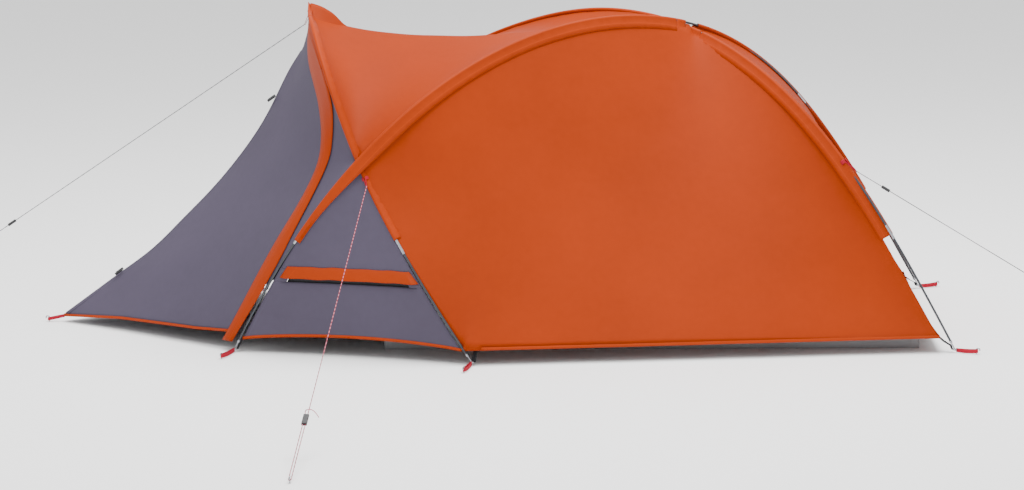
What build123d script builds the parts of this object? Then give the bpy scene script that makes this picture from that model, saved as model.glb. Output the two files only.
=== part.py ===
"""Tunnel tent: two crossed poles, a leaning front hoop, a staked vestibule and an inner tent.

Units are millimetres. X runs from the vestibule (-) to the rear (+), Y across the tent with
the near side at -Y, and Z up from the underside of the groundsheet.
"""

import os
from math import pi

from build123d import *

os.makedirs("parts", exist_ok=True)

# --- Poles -----------------------------------------------------------------------------
# Way points of a main pole, from its front foot at -Y to its rear foot at +Y.
MAIN_POLE = [
    (-1065, -590, 0),
    (-815, -635, 435),
    (-590, -640, 722),
    (5, -325, 1130),
    (310, -180, 1200),
    (660, 0, 1155),
    (1220, 440, 690),
    (1630, 640, 0),
]
CROSSING = 5
CROSSING_LIFT = 9
# Way points of the front hoop, from its apex down to one foot.
HOOP_HALF = [
    (-800, 0, 1218),
    (-770, 300, 1188),
    (-718, 490, 1068),
    (-588, 620, 728),
    (-405, 740, 382),
    (-155, 850, 0),
]
POLE_R = 4.25
POLE_BORE_R = 2.75
MAIN_SECTIONS = 8
HOOP_SECTIONS = 7
SECTION_GAP = 0.5
FERRULE_R = 5.25
FERRULE_BORE_R = 4.3
FERRULE_LENGTH = 60
POLE_START = 52
PIN_R = 2.4
PIN_END = 6
PIN_COLLAR_R = 5
PIN_COLLAR_LENGTH = 10
PATH_SAMPLES = 600

# --- Sleeves ---------------------------------------------------------------------------
SLEEVE_R = 7.4
SLEEVE_BORE_R = 6.0
SLEEVE_START = 500
HOOP_SLEEVE_START = 552
SLEEVE_END_X = 640
SLEEVE_RESTART_X = 690

# --- Fly sheet -------------------------------------------------------------------------
FABRIC = 2.5
EDGE_PULL = 15
EDGE_CLEAR = 11.5
HEM_Z = 58
FRONT_HEM_Z = 48
SIDE_BOW = 12
REAR_DIP = 20
REAR_SLOPE = 0.02
ROOF_DROP = 7
ROOF_HOLLOW = 0.12
# Ridge of the vestibule in the Y = 0 plane, from the stake up to the hoop.
VESTIBULE_RIDGE = [
    (-1796, 26),
    (-1555, 201),
    (-1318, 403),
    (-1078, 666),
    (-933, 900),
    (-821, 1102),
    (-803, 1192),
]
# Ridge line of the front canopy, from the hoop back to the pole crossing.
CANOPY_RIDGE = [
    (-800, 1205),
    (-685, 1160),
    (-558, 1138),
    (-407, 1120),
    (-200, 1117),
    (0, 1128),
    (300, 1146),
    (660, 1134),
]
# Height against share of the way from the ridge to the poles, for both edges of the zip flap.
FLAP_INNER = [
    (0, 0.90),
    (200, 0.89),
    (360, 0.85),
    (500, 0.82),
    (640, 0.755),
    (760, 0.69),
    (880, 0.70),
    (970, 0.66),
    (1090, 0.46),
    (1200, 0.4),
]
FLAP_OUTER = [
    (0, 0.965),
    (200, 0.975),
    (360, 0.96),
    (500, 0.91),
    (640, 0.84),
    (760, 0.79),
    (880, 0.87),
    (940, 0.955),
    (1200, 0.955),
]
DOOR_TOP_Z = 1080
FIXED_TOP_Z = 925
SEAM_GAP = 3
FLAP_LIFT = 5
INSIDE_REACH = 200

# --- Vent in the foot panel ------------------------------------------------------------
VENT_FLAP_TOP = 338
VENT_FLAP_BOTTOM = 288
VENT_TOP = 326
VENT_BOTTOM = 272
VENT_INSET = 0.1
MESH_INSET = 0.14
VENT_FLAP_INSET = 0.06
VENT_FLAP_LIFT = 7
VENT_CUT_DEPTH = 120

# --- Inner tent ------------------------------------------------------------------------
FLOOR_FRONT_X = -500
FLOOR_REAR_X = 1500
FLOOR_HALF_WIDTH = 555
FLOOR_T = 2
WALL_HEIGHT = 120
INNER_FABRIC = 2
# X, shoulder y, shoulder z and top z of the inner canopy.
INNER_SECTIONS = [
    (-500, 400, 660, 970),
    (100, 260, 960, 1050),
    (660, 130, 860, 1010),
    (1100, 300, 590, 660),
    (1440, 470, 190, 215),
]
DOOR_WIDTH = 500
DOOR_HEIGHT = 480
DOOR_SILL = 150
DOOR_HINGE_Y = 250
DOOR_CLEARANCE = 4
DOOR_CORNER_R = 60

# --- Feet, pegs and guy lines ----------------------------------------------------------
RING_R = 9
RING_WIRE_R = 1.6
RING_Z = 12
STRAP_T = 1.8
STRAP_WIDTH = 18
STRAP_LOW_Z = 16
STRAP_CLEAR = 8
STRAP_REACH = 18
STRAP_RISE = 26
TENT_MIDDLE_X = 250
PEG_LOOP_WIDTH = 16
PEG_LOOP_BAND = 3.5
PEG_LOOP_T = 2.2
PEG_LOOP_Z = 3
LOOP_SLACK = 2
PEG_R = 2.2
PEG_HEAD_Z = 22
PEG_HOOK = 13
PEG_HOOK_DROP = 9
PEG_BEND_R = 5
CORD_R = 1.5
FRONT_STAKE = (-1850, 0)
# Peg positions that belong to the front feet, the hoop feet and the rear feet, at +Y.
FRONT_PEG = (-1096, 716)
HOOP_PEG = (-189, 971)
REAR_PEG = (1700, 670)


# --- Curves ----------------------------------------------------------------------------
def mirrored(points):
    """The same points on the other side of the tent."""
    return [Vector(p.X, -p.Y, p.Z) for p in points]


def sampled(way_points):
    """Evenly spaced points along the smooth curve through the way points."""
    curve = Spline(*way_points)
    return [curve @ (i / PATH_SAMPLES) for i in range(PATH_SAMPLES + 1)]


def main_pole(lift):
    """Points of a main pole that passes the crossing at the given lift."""
    way_points = list(MAIN_POLE)
    x, y, z = way_points[CROSSING]
    way_points[CROSSING] = (x, y, z + lift)
    return sampled(way_points)


def between(a, b, share):
    return a + (b - a) * share


def at_height(points, z):
    """First point at height z on a curve that climbs from its foot."""
    for a, b in zip(points, points[1:]):
        if b.Z >= z:
            return between(a, b, (z - a.Z) / (b.Z - a.Z))
    return points[-1]


def at_station(points, x):
    """First point at station x on a curve that runs towards +X."""
    for a, b in zip(points, points[1:]):
        if b.X >= x:
            return between(a, b, (x - a.X) / (b.X - a.X))
    return points[-1]


def table(rows, value):
    """Straight-line interpolation in rows of (value, result)."""
    for (a, fa), (b, fb) in zip(rows, rows[1:]):
        if value <= b:
            return fa + (fb - fa) * (value - a) / (b - a)
    return rows[-1][1]


def length_of(points):
    return sum((b - a).length for a, b in zip(points, points[1:]))


POLE_A = main_pole(CROSSING_LIFT)
POLE_B = mirrored(main_pole(-CROSSING_LIFT))
HOOP = sampled([(x, -y, z) for x, y, z in reversed(HOOP_HALF)] + HOOP_HALF[1:])
HOOP_NEAR_UP = HOOP[: PATH_SAMPLES // 2 + 1]
HOOP_NEAR_BACK = list(reversed(HOOP_NEAR_UP))
MAIN_LENGTH = length_of(POLE_A)
HOOP_LENGTH = length_of(HOOP)
NEAR_CROSSING_Z = 722
TOP_CROSSING_X = 660


def stretch(points, start, end, pieces=14):
    """Points of the curve between two shares of its length."""
    curve_points = []
    for i in range(pieces + 1):
        place = (start + (end - start) * i / pieces) * PATH_SAMPLES
        low = min(int(place), PATH_SAMPLES - 1)
        curve_points.append(between(points[low], points[low + 1], place - low))
    return curve_points


def share_at_x(points, x):
    return next(i for i, p in enumerate(points) if p.X >= x) / PATH_SAMPLES


def save(part, name):
    part.label = name
    export_step(part, f"parts/{name}.step")


# --- Solids used more than once --------------------------------------------------------
def swept_ring(path_points, outer, bore):
    """A tube along the smooth curve through the points, added to the open part."""
    with BuildLine() as path:
        Spline(*path_points)
    with BuildSketch(Plane(path.line @ 0, z_dir=path.line % 0)) as ring:
        Circle(outer)
        Circle(bore, mode=Mode.SUBTRACT)
    sweep(ring.sketch, path=path.line)


def pole_tubes(points, length, sections, first, last):
    """The pole sections numbered first to last, as separate tubes."""
    for number in range(first, last + 1):
        start = number / sections + SECTION_GAP / length / 2
        end = (number + 1) / sections - SECTION_GAP / length / 2
        if number == 0:
            start = POLE_START / length
        if number == sections - 1:
            end = 1 - POLE_START / length
        swept_ring(stretch(points, start, end), POLE_R, POLE_BORE_R)


def ferrules(points, length, sections):
    """A metal sleeve over each joint between two pole sections."""
    half = FERRULE_LENGTH / length / 2
    for number in range(1, sections):
        middle = number / sections
        swept_ring(stretch(points, middle - half, middle + half, 4), FERRULE_R, FERRULE_BORE_R)


def outline(line, toward):
    """A closed outline one fabric thick behind the line, on the side of the point toward."""
    inner = []
    for i, p in enumerate(line):
        run = line[min(i + 1, len(line) - 1)] - line[max(i - 1, 0)]
        normal = Vector(-run.Y, run.X).normalized()
        if normal.dot(toward - p) < 0:
            normal = -normal
        inner.append(p + normal * FABRIC)
    return line + inner[::-1]


def fabric(plane, stations):
    """A thin panel through flat sections (offset, line, toward), added to the open part."""
    sections = []
    for offset, line, toward in stations:
        with BuildSketch(plane.offset(offset)) as section:
            with BuildLine():
                Polyline(*outline(line, toward), close=True)
            make_face()
        sections.append(section.sketch.face())
    loft(sections, ruled=True)


def steps(start, end, count):
    return [start + (end - start) * i / (count - 1) for i in range(count)]


def edge_pull(curve, index, run):
    """How far to draw a panel edge in along run so that it clears the sleeve on the curve."""
    tangent = (curve[min(index + 1, len(curve) - 1)] - curve[max(index - 1, 0)]).normalized()
    return EDGE_CLEAR / max(tangent.cross(run).length, 0.3)


def index_at_x(curve, x):
    return next((i for i, p in enumerate(curve) if p.X >= x), len(curve) - 1)


def flat_xy(p):
    return Vector(p.X, p.Y)


def flat_yz(p):
    return Vector(p.Y, p.Z)


# --- Poles -----------------------------------------------------------------------------
def pole_nodes(prefix, points, length, sections, groups):
    for name, first, last in groups:
        with BuildPart() as tubes:
            pole_tubes(points, length, sections, first, last)
        save(tubes.part, f"{prefix}_{name}")
    with BuildPart() as joints:
        ferrules(points, length, sections)
    save(joints.part, f"{prefix}_ferrules")


MAIN_GROUPS = [("front_leg", 0, 0), ("front_arch", 1, 3), ("rear_arch", 4, 6), ("rear_leg", 7, 7)]
HOOP_GROUPS = [("near_leg", 0, 0), ("arch", 1, 5), ("far_leg", 6, 6)]
pole_nodes("pole_a", POLE_A, MAIN_LENGTH, MAIN_SECTIONS, MAIN_GROUPS)
pole_nodes("pole_b", POLE_B, MAIN_LENGTH, MAIN_SECTIONS, MAIN_GROUPS)
pole_nodes("hoop", HOOP, HOOP_LENGTH, HOOP_SECTIONS, HOOP_GROUPS)


def foot(points, length):
    """Foot point of a curve and the direction up its lowest stretch."""
    step = round(POLE_START / length * PATH_SAMPLES)
    return points[0], (points[step] - points[0]).normalized()


FEET = [
    foot(POLE_A, MAIN_LENGTH),
    foot(POLE_B, MAIN_LENGTH),
    foot(POLE_A[::-1], MAIN_LENGTH),
    foot(POLE_B[::-1], MAIN_LENGTH),
    foot(HOOP, HOOP_LENGTH),
    foot(HOOP[::-1], HOOP_LENGTH),
]

with BuildPart() as foot_pins:
    for base, up in FEET:
        with BuildSketch(Plane(base + up * (PIN_END + PIN_R), z_dir=up)):
            Circle(PIN_R)
        extrude(amount=POLE_START - PIN_COLLAR_LENGTH - PIN_END)
        with BuildSketch(Plane(base + up * (POLE_START - PIN_COLLAR_LENGTH - SECTION_GAP), z_dir=up)):
            Circle(PIN_COLLAR_R)
        extrude(amount=PIN_COLLAR_LENGTH)
save(foot_pins.part, "foot_pins")

with BuildPart() as foot_rings:
    for base, up in FEET:
        with Locations(Location(base + up * (RING_Z / up.Z))):
            Torus(RING_R, RING_WIRE_R)
save(foot_rings.part, "foot_rings")


# --- Sleeves ---------------------------------------------------------------------------
SLEEVES = {
    "sleeve_a_front": (POLE_A, SLEEVE_START / MAIN_LENGTH, share_at_x(POLE_A, SLEEVE_END_X)),
    "sleeve_a_rear": (POLE_A, share_at_x(POLE_A, SLEEVE_RESTART_X), 1 - SLEEVE_START / MAIN_LENGTH),
    "sleeve_b": (POLE_B, SLEEVE_START / MAIN_LENGTH, 1 - SLEEVE_START / MAIN_LENGTH),
    "sleeve_hoop": (HOOP, HOOP_SLEEVE_START / HOOP_LENGTH, 1 - HOOP_SLEEVE_START / HOOP_LENGTH),
}
for sleeve_name, (sleeve_path, sleeve_start, sleeve_end) in SLEEVES.items():
    with BuildPart() as sleeve:
        swept_ring(stretch(sleeve_path, sleeve_start, sleeve_end, 24), SLEEVE_R, SLEEVE_BORE_R)
    save(sleeve.part, sleeve_name)


# --- Fly: side panels ------------------------------------------------------------------
# Front and rear arc of each side; the far side's are turned over to the near side.
SIDE_ARCS = {1: (POLE_A, POLE_B), -1: (mirrored(POLE_B), mirrored(POLE_A))}


def hem_y(x):
    """Half width of the side hem between the hoop foot and the rear foot."""
    hoop_x, hoop_y, _ = HOOP_HALF[-1]
    rear_x, rear_y, _ = MAIN_POLE[-1]
    return hoop_y + (rear_y - hoop_y) * (x - hoop_x) / (rear_x - hoop_x)


def side_station(x, side):
    """Section of a side panel at x: its lower edge, a slight bow and its upper edge."""
    hoop_x = at_height(HOOP_NEAR_UP, HEM_Z).X
    arc = SIDE_ARCS[side][0] if x < TOP_CROSSING_X else SIDE_ARCS[side][1]
    high = at_station(arc, x)
    low = at_station(HOOP_NEAR_BACK, x) if x < hoop_x else Vector(x, -hem_y(x), HEM_Z)
    run = (high - low).normalized()
    if x < hoop_x:
        low = low + run * edge_pull(HOOP_NEAR_BACK, index_at_x(HOOP_NEAR_BACK, x), run)
    high = high - run * edge_pull(arc, index_at_x(arc, x), run)
    low, high = flat_yz(low), flat_yz(high)
    middle = between(low, high, 0.5) + Vector(SIDE_BOW, 0)
    line = [Vector(side * p.X, p.Y) for p in (low, middle, high)]
    return x, line, Vector(0, low.Y)


SIDE_STATIONS = [-545, -480, -400, -300, -190, -100, 50, 220, 400]
SIDE_STATIONS += [560, 680, 820, 960, 1100, 1240, 1370, 1480, 1560]
for side_name, side in (("near", 1), ("far", -1)):
    with BuildPart() as fly_side:
        fabric(Plane.YZ, [side_station(x, side) for x in SIDE_STATIONS])
    save(fly_side.part, f"fly_side_{side_name}")


# --- Fly: front canopy and rear panel --------------------------------------------------
def roof_line(edge, ridge_z):
    """A line across the tent from edge to its mirror image, through the ridge height."""
    inset = between(flat_yz(edge), Vector(0, ridge_z), EDGE_PULL / max(abs(edge.Y), EDGE_PULL * 2))
    inset = inset - Vector(0, ROOF_DROP)
    quarter = between(inset, Vector(0, ridge_z), 0.5) - Vector(0, abs(inset.Y - ridge_z) * ROOF_HOLLOW)
    near = [inset, quarter]
    far = [Vector(-p.X, p.Y) for p in reversed(near)]
    return near + [Vector(0, ridge_z)] + far


def canopy_station(x):
    if x < at_height(POLE_A, NEAR_CROSSING_Z).X:
        edge = at_station(HOOP_NEAR_BACK, x)
    else:
        edge = at_station(POLE_A, x)
    return x, roof_line(edge, table(CANOPY_RIDGE, x)), Vector(0, 0)


CANOPY_STATIONS = [-780, -755, -700, -640, -595, -540, -440, -300, -150, 0, 150, 300, 450, 590]
with BuildPart() as fly_front:
    fabric(Plane.YZ, [canopy_station(x) for x in CANOPY_STATIONS])
save(fly_front.part, "fly_front_canopy")


def rear_station(x):
    edge = at_station(POLE_B, x)
    return x, roof_line(edge, edge.Z - REAR_DIP - REAR_SLOPE * abs(edge.Y)), Vector(0, -400)


REAR_STATIONS = [735, 800, 900, 1000, 1100, 1200, 1300, 1400, 1500, 1575]
with BuildPart() as fly_rear:
    fabric(Plane.YZ, [rear_station(x) for x in REAR_STATIONS])
save(fly_rear.part, "fly_rear")


# --- Fly: vestibule --------------------------------------------------------------------
def ridge_point(z):
    return Vector(table([(h, x) for x, h in VESTIBULE_RIDGE], z), 0)


def pole_point(z):
    """Where the vestibule ends at height z: pole A below the crossing, the hoop above."""
    if z < NEAR_CROSSING_Z:
        return flat_xy(at_height(POLE_A, z))
    return flat_xy(at_height(HOOP_NEAR_UP, z))


def vestibule_line(z, start, end, lift, side):
    """Part of the level line from the ridge to the poles, moved out by lift."""
    ridge = ridge_point(z)
    low, high = ridge, pole_point(z)
    run = high - low
    outward = Vector(run.Y, -run.X).normalized()
    first = between(low, high, start) + outward * lift
    last = between(low, high, end) + outward * lift
    return z, [Vector(p.X, side * p.Y) for p in (first, last)], Vector(high.X + INSIDE_REACH, 0)


def inner_share(z, gap=0.0):
    width = (pole_point(z) - ridge_point(z)).length
    return table(FLAP_INNER, z) + gap / width


def outer_share(z, gap=0.0):
    width = (pole_point(z) - ridge_point(z)).length
    return min(table(FLAP_OUTER, z), 1 - EDGE_PULL / width) + gap / width


def ridge_share(z):
    return 2 * SEAM_GAP / (pole_point(z) - ridge_point(z)).length


def pole_share(z):
    return 1 - EDGE_PULL / (pole_point(z) - ridge_point(z)).length


DOOR_LEVELS = [FRONT_HEM_Z, 120, 200, 290, 403, 500, 600, 700, 760, 820, 900, 970, 1030, DOOR_TOP_Z]
FLAP_LEVELS = [60, 130, 200, 290, 360, 430, 500, 570, 640, 700, 760, 820, 880, 940]
FIXED_LEVELS = [300, 360, 430, 500, 570, 640, 700, 745, 790, 840, 880]
for side_name, side in (("near", 1), ("far", -1)):
    with BuildPart() as door:
        fabric(
            Plane.XY,
            [vestibule_line(z, ridge_share(z), inner_share(z, -SEAM_GAP), 0, side) for z in DOOR_LEVELS],
        )
    save(door.part, f"vestibule_door_{side_name}")
    with BuildPart() as zip_flap:
        fabric(
            Plane.XY,
            [vestibule_line(z, inner_share(z), outer_share(z), FLAP_LIFT, side) for z in FLAP_LEVELS],
        )
    save(zip_flap.part, f"zip_flap_{side_name}")
    with BuildPart() as fixed:
        fabric(
            Plane.XY,
            [vestibule_line(z, outer_share(z, -4 * SEAM_GAP), pole_share(z), 0, side) for z in FIXED_LEVELS],
        )
    save(fixed.part, f"vestibule_side_{side_name}")


# --- Fly: foot panels between pole A and the hoop, with the vent -----------------------
def foot_line(z, start, end, lift, side):
    """Level line from the main pole's leg to the hoop's leg, moved out by lift."""
    low, high = flat_xy(at_height(POLE_A, z)), flat_xy(at_height(HOOP_NEAR_UP, z))
    run = (high - low).normalized()
    outward = Vector(run.Y, -run.X)
    width = (high - low).length
    first = low + run * (EDGE_PULL + (width - 2 * EDGE_PULL) * start) + outward * lift
    last = low + run * (EDGE_PULL + (width - 2 * EDGE_PULL) * end) + outward * lift
    return z, [Vector(p.X, side * p.Y) for p in (first, last)], Vector(low.X, 0)


FOOT_LEVELS = [HEM_Z, 150, 250, 350, 450, 550, 640]
FLAP_HEIGHTS = [VENT_FLAP_BOTTOM, VENT_FLAP_TOP]
MESH_HEIGHTS = [VENT_BOTTOM + SEAM_GAP, VENT_TOP - SEAM_GAP]
for side_name, side in (("near", 1), ("far", -1)):
    with BuildPart() as foot_panel:
        fabric(Plane.XY, [foot_line(z, 0, 1, 0, side) for z in FOOT_LEVELS])
        vent_line = foot_line(VENT_BOTTOM, VENT_INSET, 1 - VENT_INSET, 0, side)[1]
        vent_middle = between(vent_line[0], vent_line[1], 0.5)
        with Locations((vent_middle.X, vent_middle.Y, (VENT_BOTTOM + VENT_TOP) / 2)):
            Box(vent_line[1].X - vent_line[0].X, VENT_CUT_DEPTH, VENT_TOP - VENT_BOTTOM, mode=Mode.SUBTRACT)
    save(foot_panel.part, f"foot_panel_{side_name}")
    with BuildPart() as vent_mesh:
        fabric(Plane.XY, [foot_line(z, MESH_INSET, 1 - MESH_INSET, 0, side) for z in MESH_HEIGHTS])
    save(vent_mesh.part, f"vent_mesh_{side_name}")
    with BuildPart() as vent_flap:
        start, end = VENT_FLAP_INSET, 1 - VENT_FLAP_INSET
        fabric(Plane.XY, [foot_line(z, start, end, VENT_FLAP_LIFT, side) for z in FLAP_HEIGHTS])
    save(vent_flap.part, f"vent_flap_{side_name}")


# --- Zip sliders, behind the flaps -----------------------------------------------------
SLIDER_Z = 150
SLIDER_DEPTH = 18
SLIDER_SIZE = (7, 12, 22)
PULL_SIZE = (2, 9, 34)
for side_name, side in (("near", 1), ("far", -1)):
    with BuildPart() as zip_slider:
        _, slider_line, _ = vestibule_line(SLIDER_Z, inner_share(SLIDER_Z), 1, -SLIDER_DEPTH, side)
        with Locations((slider_line[0].X, slider_line[0].Y, SLIDER_Z)):
            Box(*SLIDER_SIZE)
            with Locations((0, 0, -SLIDER_SIZE[2] / 2 - PULL_SIZE[2] / 2)):
                Box(*PULL_SIZE)
    save(zip_slider.part, f"zip_slider_{side_name}")


# --- Door toggles near the ridge -------------------------------------------------------
TOGGLE_HEIGHTS = [200, 880]
TOGGLE_R = 5
TOGGLE_LENGTH = 32
TOGGLE_AHEAD = 14
TOGGLE_OUT = 16
TOGGLE_LEAN = 55
with BuildPart() as toggles:
    for z in TOGGLE_HEIGHTS:
        ridge = ridge_point(z)
        for side in (1, -1):
            with Locations(Location((ridge.X - TOGGLE_AHEAD, -side * TOGGLE_OUT, z), (0, TOGGLE_LEAN, 0))):
                Cylinder(TOGGLE_R, TOGGLE_LENGTH)
save(toggles.part, "door_toggles")


# --- Inner tent ------------------------------------------------------------------------
FLOOR_LENGTH = FLOOR_REAR_X - FLOOR_FRONT_X
FLOOR_MIDDLE = (FLOOR_REAR_X + FLOOR_FRONT_X) / 2
with BuildPart() as groundsheet:
    with BuildSketch(Plane.XY):
        with Locations((FLOOR_MIDDLE, 0)):
            Rectangle(FLOOR_LENGTH, 2 * FLOOR_HALF_WIDTH)
    extrude(amount=WALL_HEIGHT)
    with BuildSketch(Plane.XY.offset(FLOOR_T)):
        with Locations((FLOOR_MIDDLE, 0)):
            Rectangle(FLOOR_LENGTH - 2 * FLOOR_T, 2 * (FLOOR_HALF_WIDTH - FLOOR_T))
    extrude(amount=WALL_HEIGHT, mode=Mode.SUBTRACT)
save(groundsheet.part, "groundsheet")

INNER_BASE_Z = WALL_HEIGHT + 3
INNER_BOW = 8


def inner_line(shoulder_y, shoulder_z, top_z):
    base = Vector(-FLOOR_HALF_WIDTH, INNER_BASE_Z)
    shoulder = Vector(-shoulder_y, shoulder_z)
    near = [base, between(base, shoulder, 0.5) - Vector(INNER_BOW, 0), shoulder]
    far = [Vector(-p.X, p.Y) for p in reversed(near)]
    return near + [Vector(0, top_z)] + far


with BuildPart() as inner_canopy:
    fabric(Plane.YZ, [(x, inner_line(y, z, top), Vector(0, 0)) for x, y, z, top in INNER_SECTIONS])
save(inner_canopy.part, "inner_canopy")

FRONT_WALL_X = FLOOR_FRONT_X - 6
with BuildPart() as inner_front:
    _, front_y, front_z, front_top = INNER_SECTIONS[0]
    with BuildSketch(Plane.YZ.offset(FRONT_WALL_X)):
        with BuildLine():
            Polyline(*inner_line(front_y, front_z, front_top), close=True)
        make_face()
        with Locations((DOOR_HINGE_Y - DOOR_WIDTH / 2, DOOR_SILL + DOOR_HEIGHT / 2)):
            RectangleRounded(DOOR_WIDTH, DOOR_HEIGHT, DOOR_CORNER_R, mode=Mode.SUBTRACT)
    extrude(amount=INNER_FABRIC)
save(inner_front.part, "inner_front_wall")

with BuildPart() as inner_door:
    with BuildSketch(Plane.YZ.offset(FRONT_WALL_X)):
        with Locations((DOOR_HINGE_Y - DOOR_WIDTH / 2, DOOR_SILL + DOOR_HEIGHT / 2)):
            RectangleRounded(
                DOOR_WIDTH - 2 * DOOR_CLEARANCE,
                DOOR_HEIGHT - 2 * DOOR_CLEARANCE,
                DOOR_CORNER_R - DOOR_CLEARANCE,
            )
    extrude(amount=INNER_FABRIC)
save(inner_door.part, "inner_door")

HANGERS = [(100, 230), (100, -230), (560, 0)]
HANGER_BASE_Z = [1000, 1000, 1062]
HANGER_TOP_Z = [1098, 1098, 1118]
with BuildPart() as hangers:
    for (x, y), base_z, top_z in zip(HANGERS, HANGER_BASE_Z, HANGER_TOP_Z):
        with BuildSketch(Plane.XY.offset(base_z)):
            with Locations((x, y)):
                Rectangle(STRAP_WIDTH, STRAP_T)
        extrude(amount=top_z - base_z)
save(hangers.part, "inner_hangers")


# --- Feet: webbing, peg loops and pegs -------------------------------------------------
def flat_strap(start, end, width, thickness):
    """A straight strap from start to end, added to the open part."""
    along = (end - start).normalized()
    across = along.cross(Vector(0, 0, 1)).normalized()
    with BuildSketch(Plane(start, x_dir=across, z_dir=along)) as section:
        Rectangle(width, thickness)
    extrude(section.sketch, amount=(end - start).length)


PEG_SPOTS = [
    (FEET[0][0], Vector(FRONT_PEG[0], -FRONT_PEG[1])),
    (FEET[1][0], Vector(FRONT_PEG[0], FRONT_PEG[1])),
    (FEET[2][0], Vector(REAR_PEG[0], REAR_PEG[1])),
    (FEET[3][0], Vector(REAR_PEG[0], -REAR_PEG[1])),
    (FEET[4][0], Vector(HOOP_PEG[0], -HOOP_PEG[1])),
    (FEET[5][0], Vector(HOOP_PEG[0], HOOP_PEG[1])),
]
STAKE = Vector(*FRONT_STAKE)
STAKE_LOOP_START = Vector(VESTIBULE_RIDGE[0][0] + 8, 0)

with BuildPart() as corner_webbing:
    for base, _ in FEET:
        toward_tent = Vector(TENT_MIDDLE_X - base.X, -base.Y).normalized()
        start = Vector(base.X, base.Y, STRAP_LOW_Z) + toward_tent * (RING_R + STRAP_CLEAR)
        flat_strap(start, start + toward_tent * STRAP_REACH + Vector(0, 0, STRAP_RISE), STRAP_WIDTH, STRAP_T)
save(corner_webbing.part, "corner_webbing")

with BuildPart() as peg_loops:
    for base, peg in PEG_SPOTS + [(STAKE_LOOP_START, STAKE)]:
        ground = Vector(base.X, base.Y)
        run = peg - ground
        outward = run.normalized()
        near_end = ground + outward * (RING_R + 4)
        far_end = peg + outward * (PEG_R + PEG_LOOP_BAND + LOOP_SLACK)
        middle = between(near_end, far_end, 0.5)
        lay = Plane((middle.X, middle.Y, PEG_LOOP_Z), x_dir=outward, z_dir=(0, 0, 1))
        length = (far_end - near_end).length
        with BuildSketch(lay):
            SlotOverall(length, PEG_LOOP_WIDTH)
            SlotOverall(length - 2 * PEG_LOOP_BAND, PEG_LOOP_WIDTH - 2 * PEG_LOOP_BAND, mode=Mode.SUBTRACT)
        extrude(amount=PEG_LOOP_T)
save(peg_loops.part, "peg_loops")


def peg(spot, outward):
    """A wire peg from the ground up, with a hooked head that leans away from the tent."""
    top = Vector(spot.X, spot.Y, PEG_HEAD_Z)
    tip = top + outward * PEG_HOOK
    with BuildLine() as wire:
        hook = tip - Vector(0, 0, PEG_HOOK_DROP)
        FilletPolyline(Vector(spot.X, spot.Y, 0), top, tip, hook, radius=PEG_BEND_R)
    with BuildSketch(Plane(wire.line @ 0, z_dir=wire.line % 0)) as section:
        Circle(PEG_R)
    sweep(section.sketch, path=wire.line)


with BuildPart() as corner_pegs:
    for base, spot in PEG_SPOTS + [(STAKE_LOOP_START, STAKE)]:
        peg(spot, (spot - Vector(base.X, base.Y)).normalized())
save(corner_pegs.part, "corner_pegs")


# --- Guy lines -------------------------------------------------------------------------
GUY_LOOP_T = 2
NEAR_GUY_TOP = Vector(-551, -672, 640)
NEAR_GUY_PEG = Vector(-678, -2589, 10)
FRONT_GUY_TOP = Vector(-826, 0, 1166)
FRONT_GUY_END = Vector(-2052, 0, 349)
REAR_GUY_TOP = Vector(1262, -486, 661)
REAR_GUY_END = Vector(1905, -690, 288)
RUNNER_SHARE = 0.82
RETURN_SHARE = 0.8048
PEG_TURN = 2 * (PEG_R + CORD_R + 0.4)
RUNNER_SLOT = 3.8
RUNNER_WALL = 7
RUNNER_LENGTH = 56
SMALL_RUNNER_LENGTH = 34
LOOP_LENGTH = 46
# Free end of the near guy line, from where it leaves the runner, and the radii of its bends.
TAIL_OFFSETS = [(-1, 18, 14), (28, 14, 15), (44, 4, -10)]
TAIL_RADII = [30, 11, 18]
CORD_GAP = 0.5


def cord(points, radii):
    """A round cord along straight runs joined by arcs, added to the open part."""
    with BuildLine() as route:
        if radii:
            FilletPolyline(*points, radius=radii)
        else:
            Line(*points)
    with BuildSketch(Plane(route.line @ 0, z_dir=route.line % 0)) as section:
        Circle(CORD_R)
    sweep(section.sketch, path=route.line)


def runner(middle, along, length, strands):
    """A line runner on the cord: a short bar with a slot for its strands, side by side in -X."""
    slot = RUNNER_SLOT + (strands - 1) * PEG_TURN
    across = Vector(-1, 0, 0) if strands > 1 else along.cross(Vector(0, 0, 1))
    start = middle - along * (length / 2)
    across = (across - along * across.dot(along)).normalized()
    with BuildSketch(Plane(start, x_dir=across, z_dir=along)) as section:
        with Locations(((strands - 1) * PEG_TURN / 2, 0)):
            RectangleRounded(slot + RUNNER_WALL, RUNNER_SLOT + RUNNER_WALL, RUNNER_WALL / 2)
            SlotOverall(slot + 0.01, RUNNER_SLOT, mode=Mode.SUBTRACT)
    extrude(section.sketch, amount=length)


def unit(a, b):
    return (b - a).normalized()


near_along = unit(NEAR_GUY_TOP, NEAR_GUY_PEG)
near_return = between(NEAR_GUY_TOP, NEAR_GUY_PEG, RETURN_SHARE) - Vector(PEG_TURN, 0, 0)
peg_left = NEAR_GUY_PEG - Vector(PEG_TURN, 0, 0)
tail = [near_return + Vector(*offset) for offset in TAIL_OFFSETS]
NEAR_ROUTE = [NEAR_GUY_TOP, NEAR_GUY_PEG, peg_left, near_return] + tail
NEAR_RADII = [PEG_TURN * 0.45, PEG_TURN * 0.45] + TAIL_RADII
with BuildPart() as guyline_near:
    cord(NEAR_ROUTE, NEAR_RADII)
save(guyline_near.part, "guyline_near")
print("near guy radii", NEAR_RADII, "length", guyline_near.part.volume / (pi * CORD_R**2))

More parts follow.
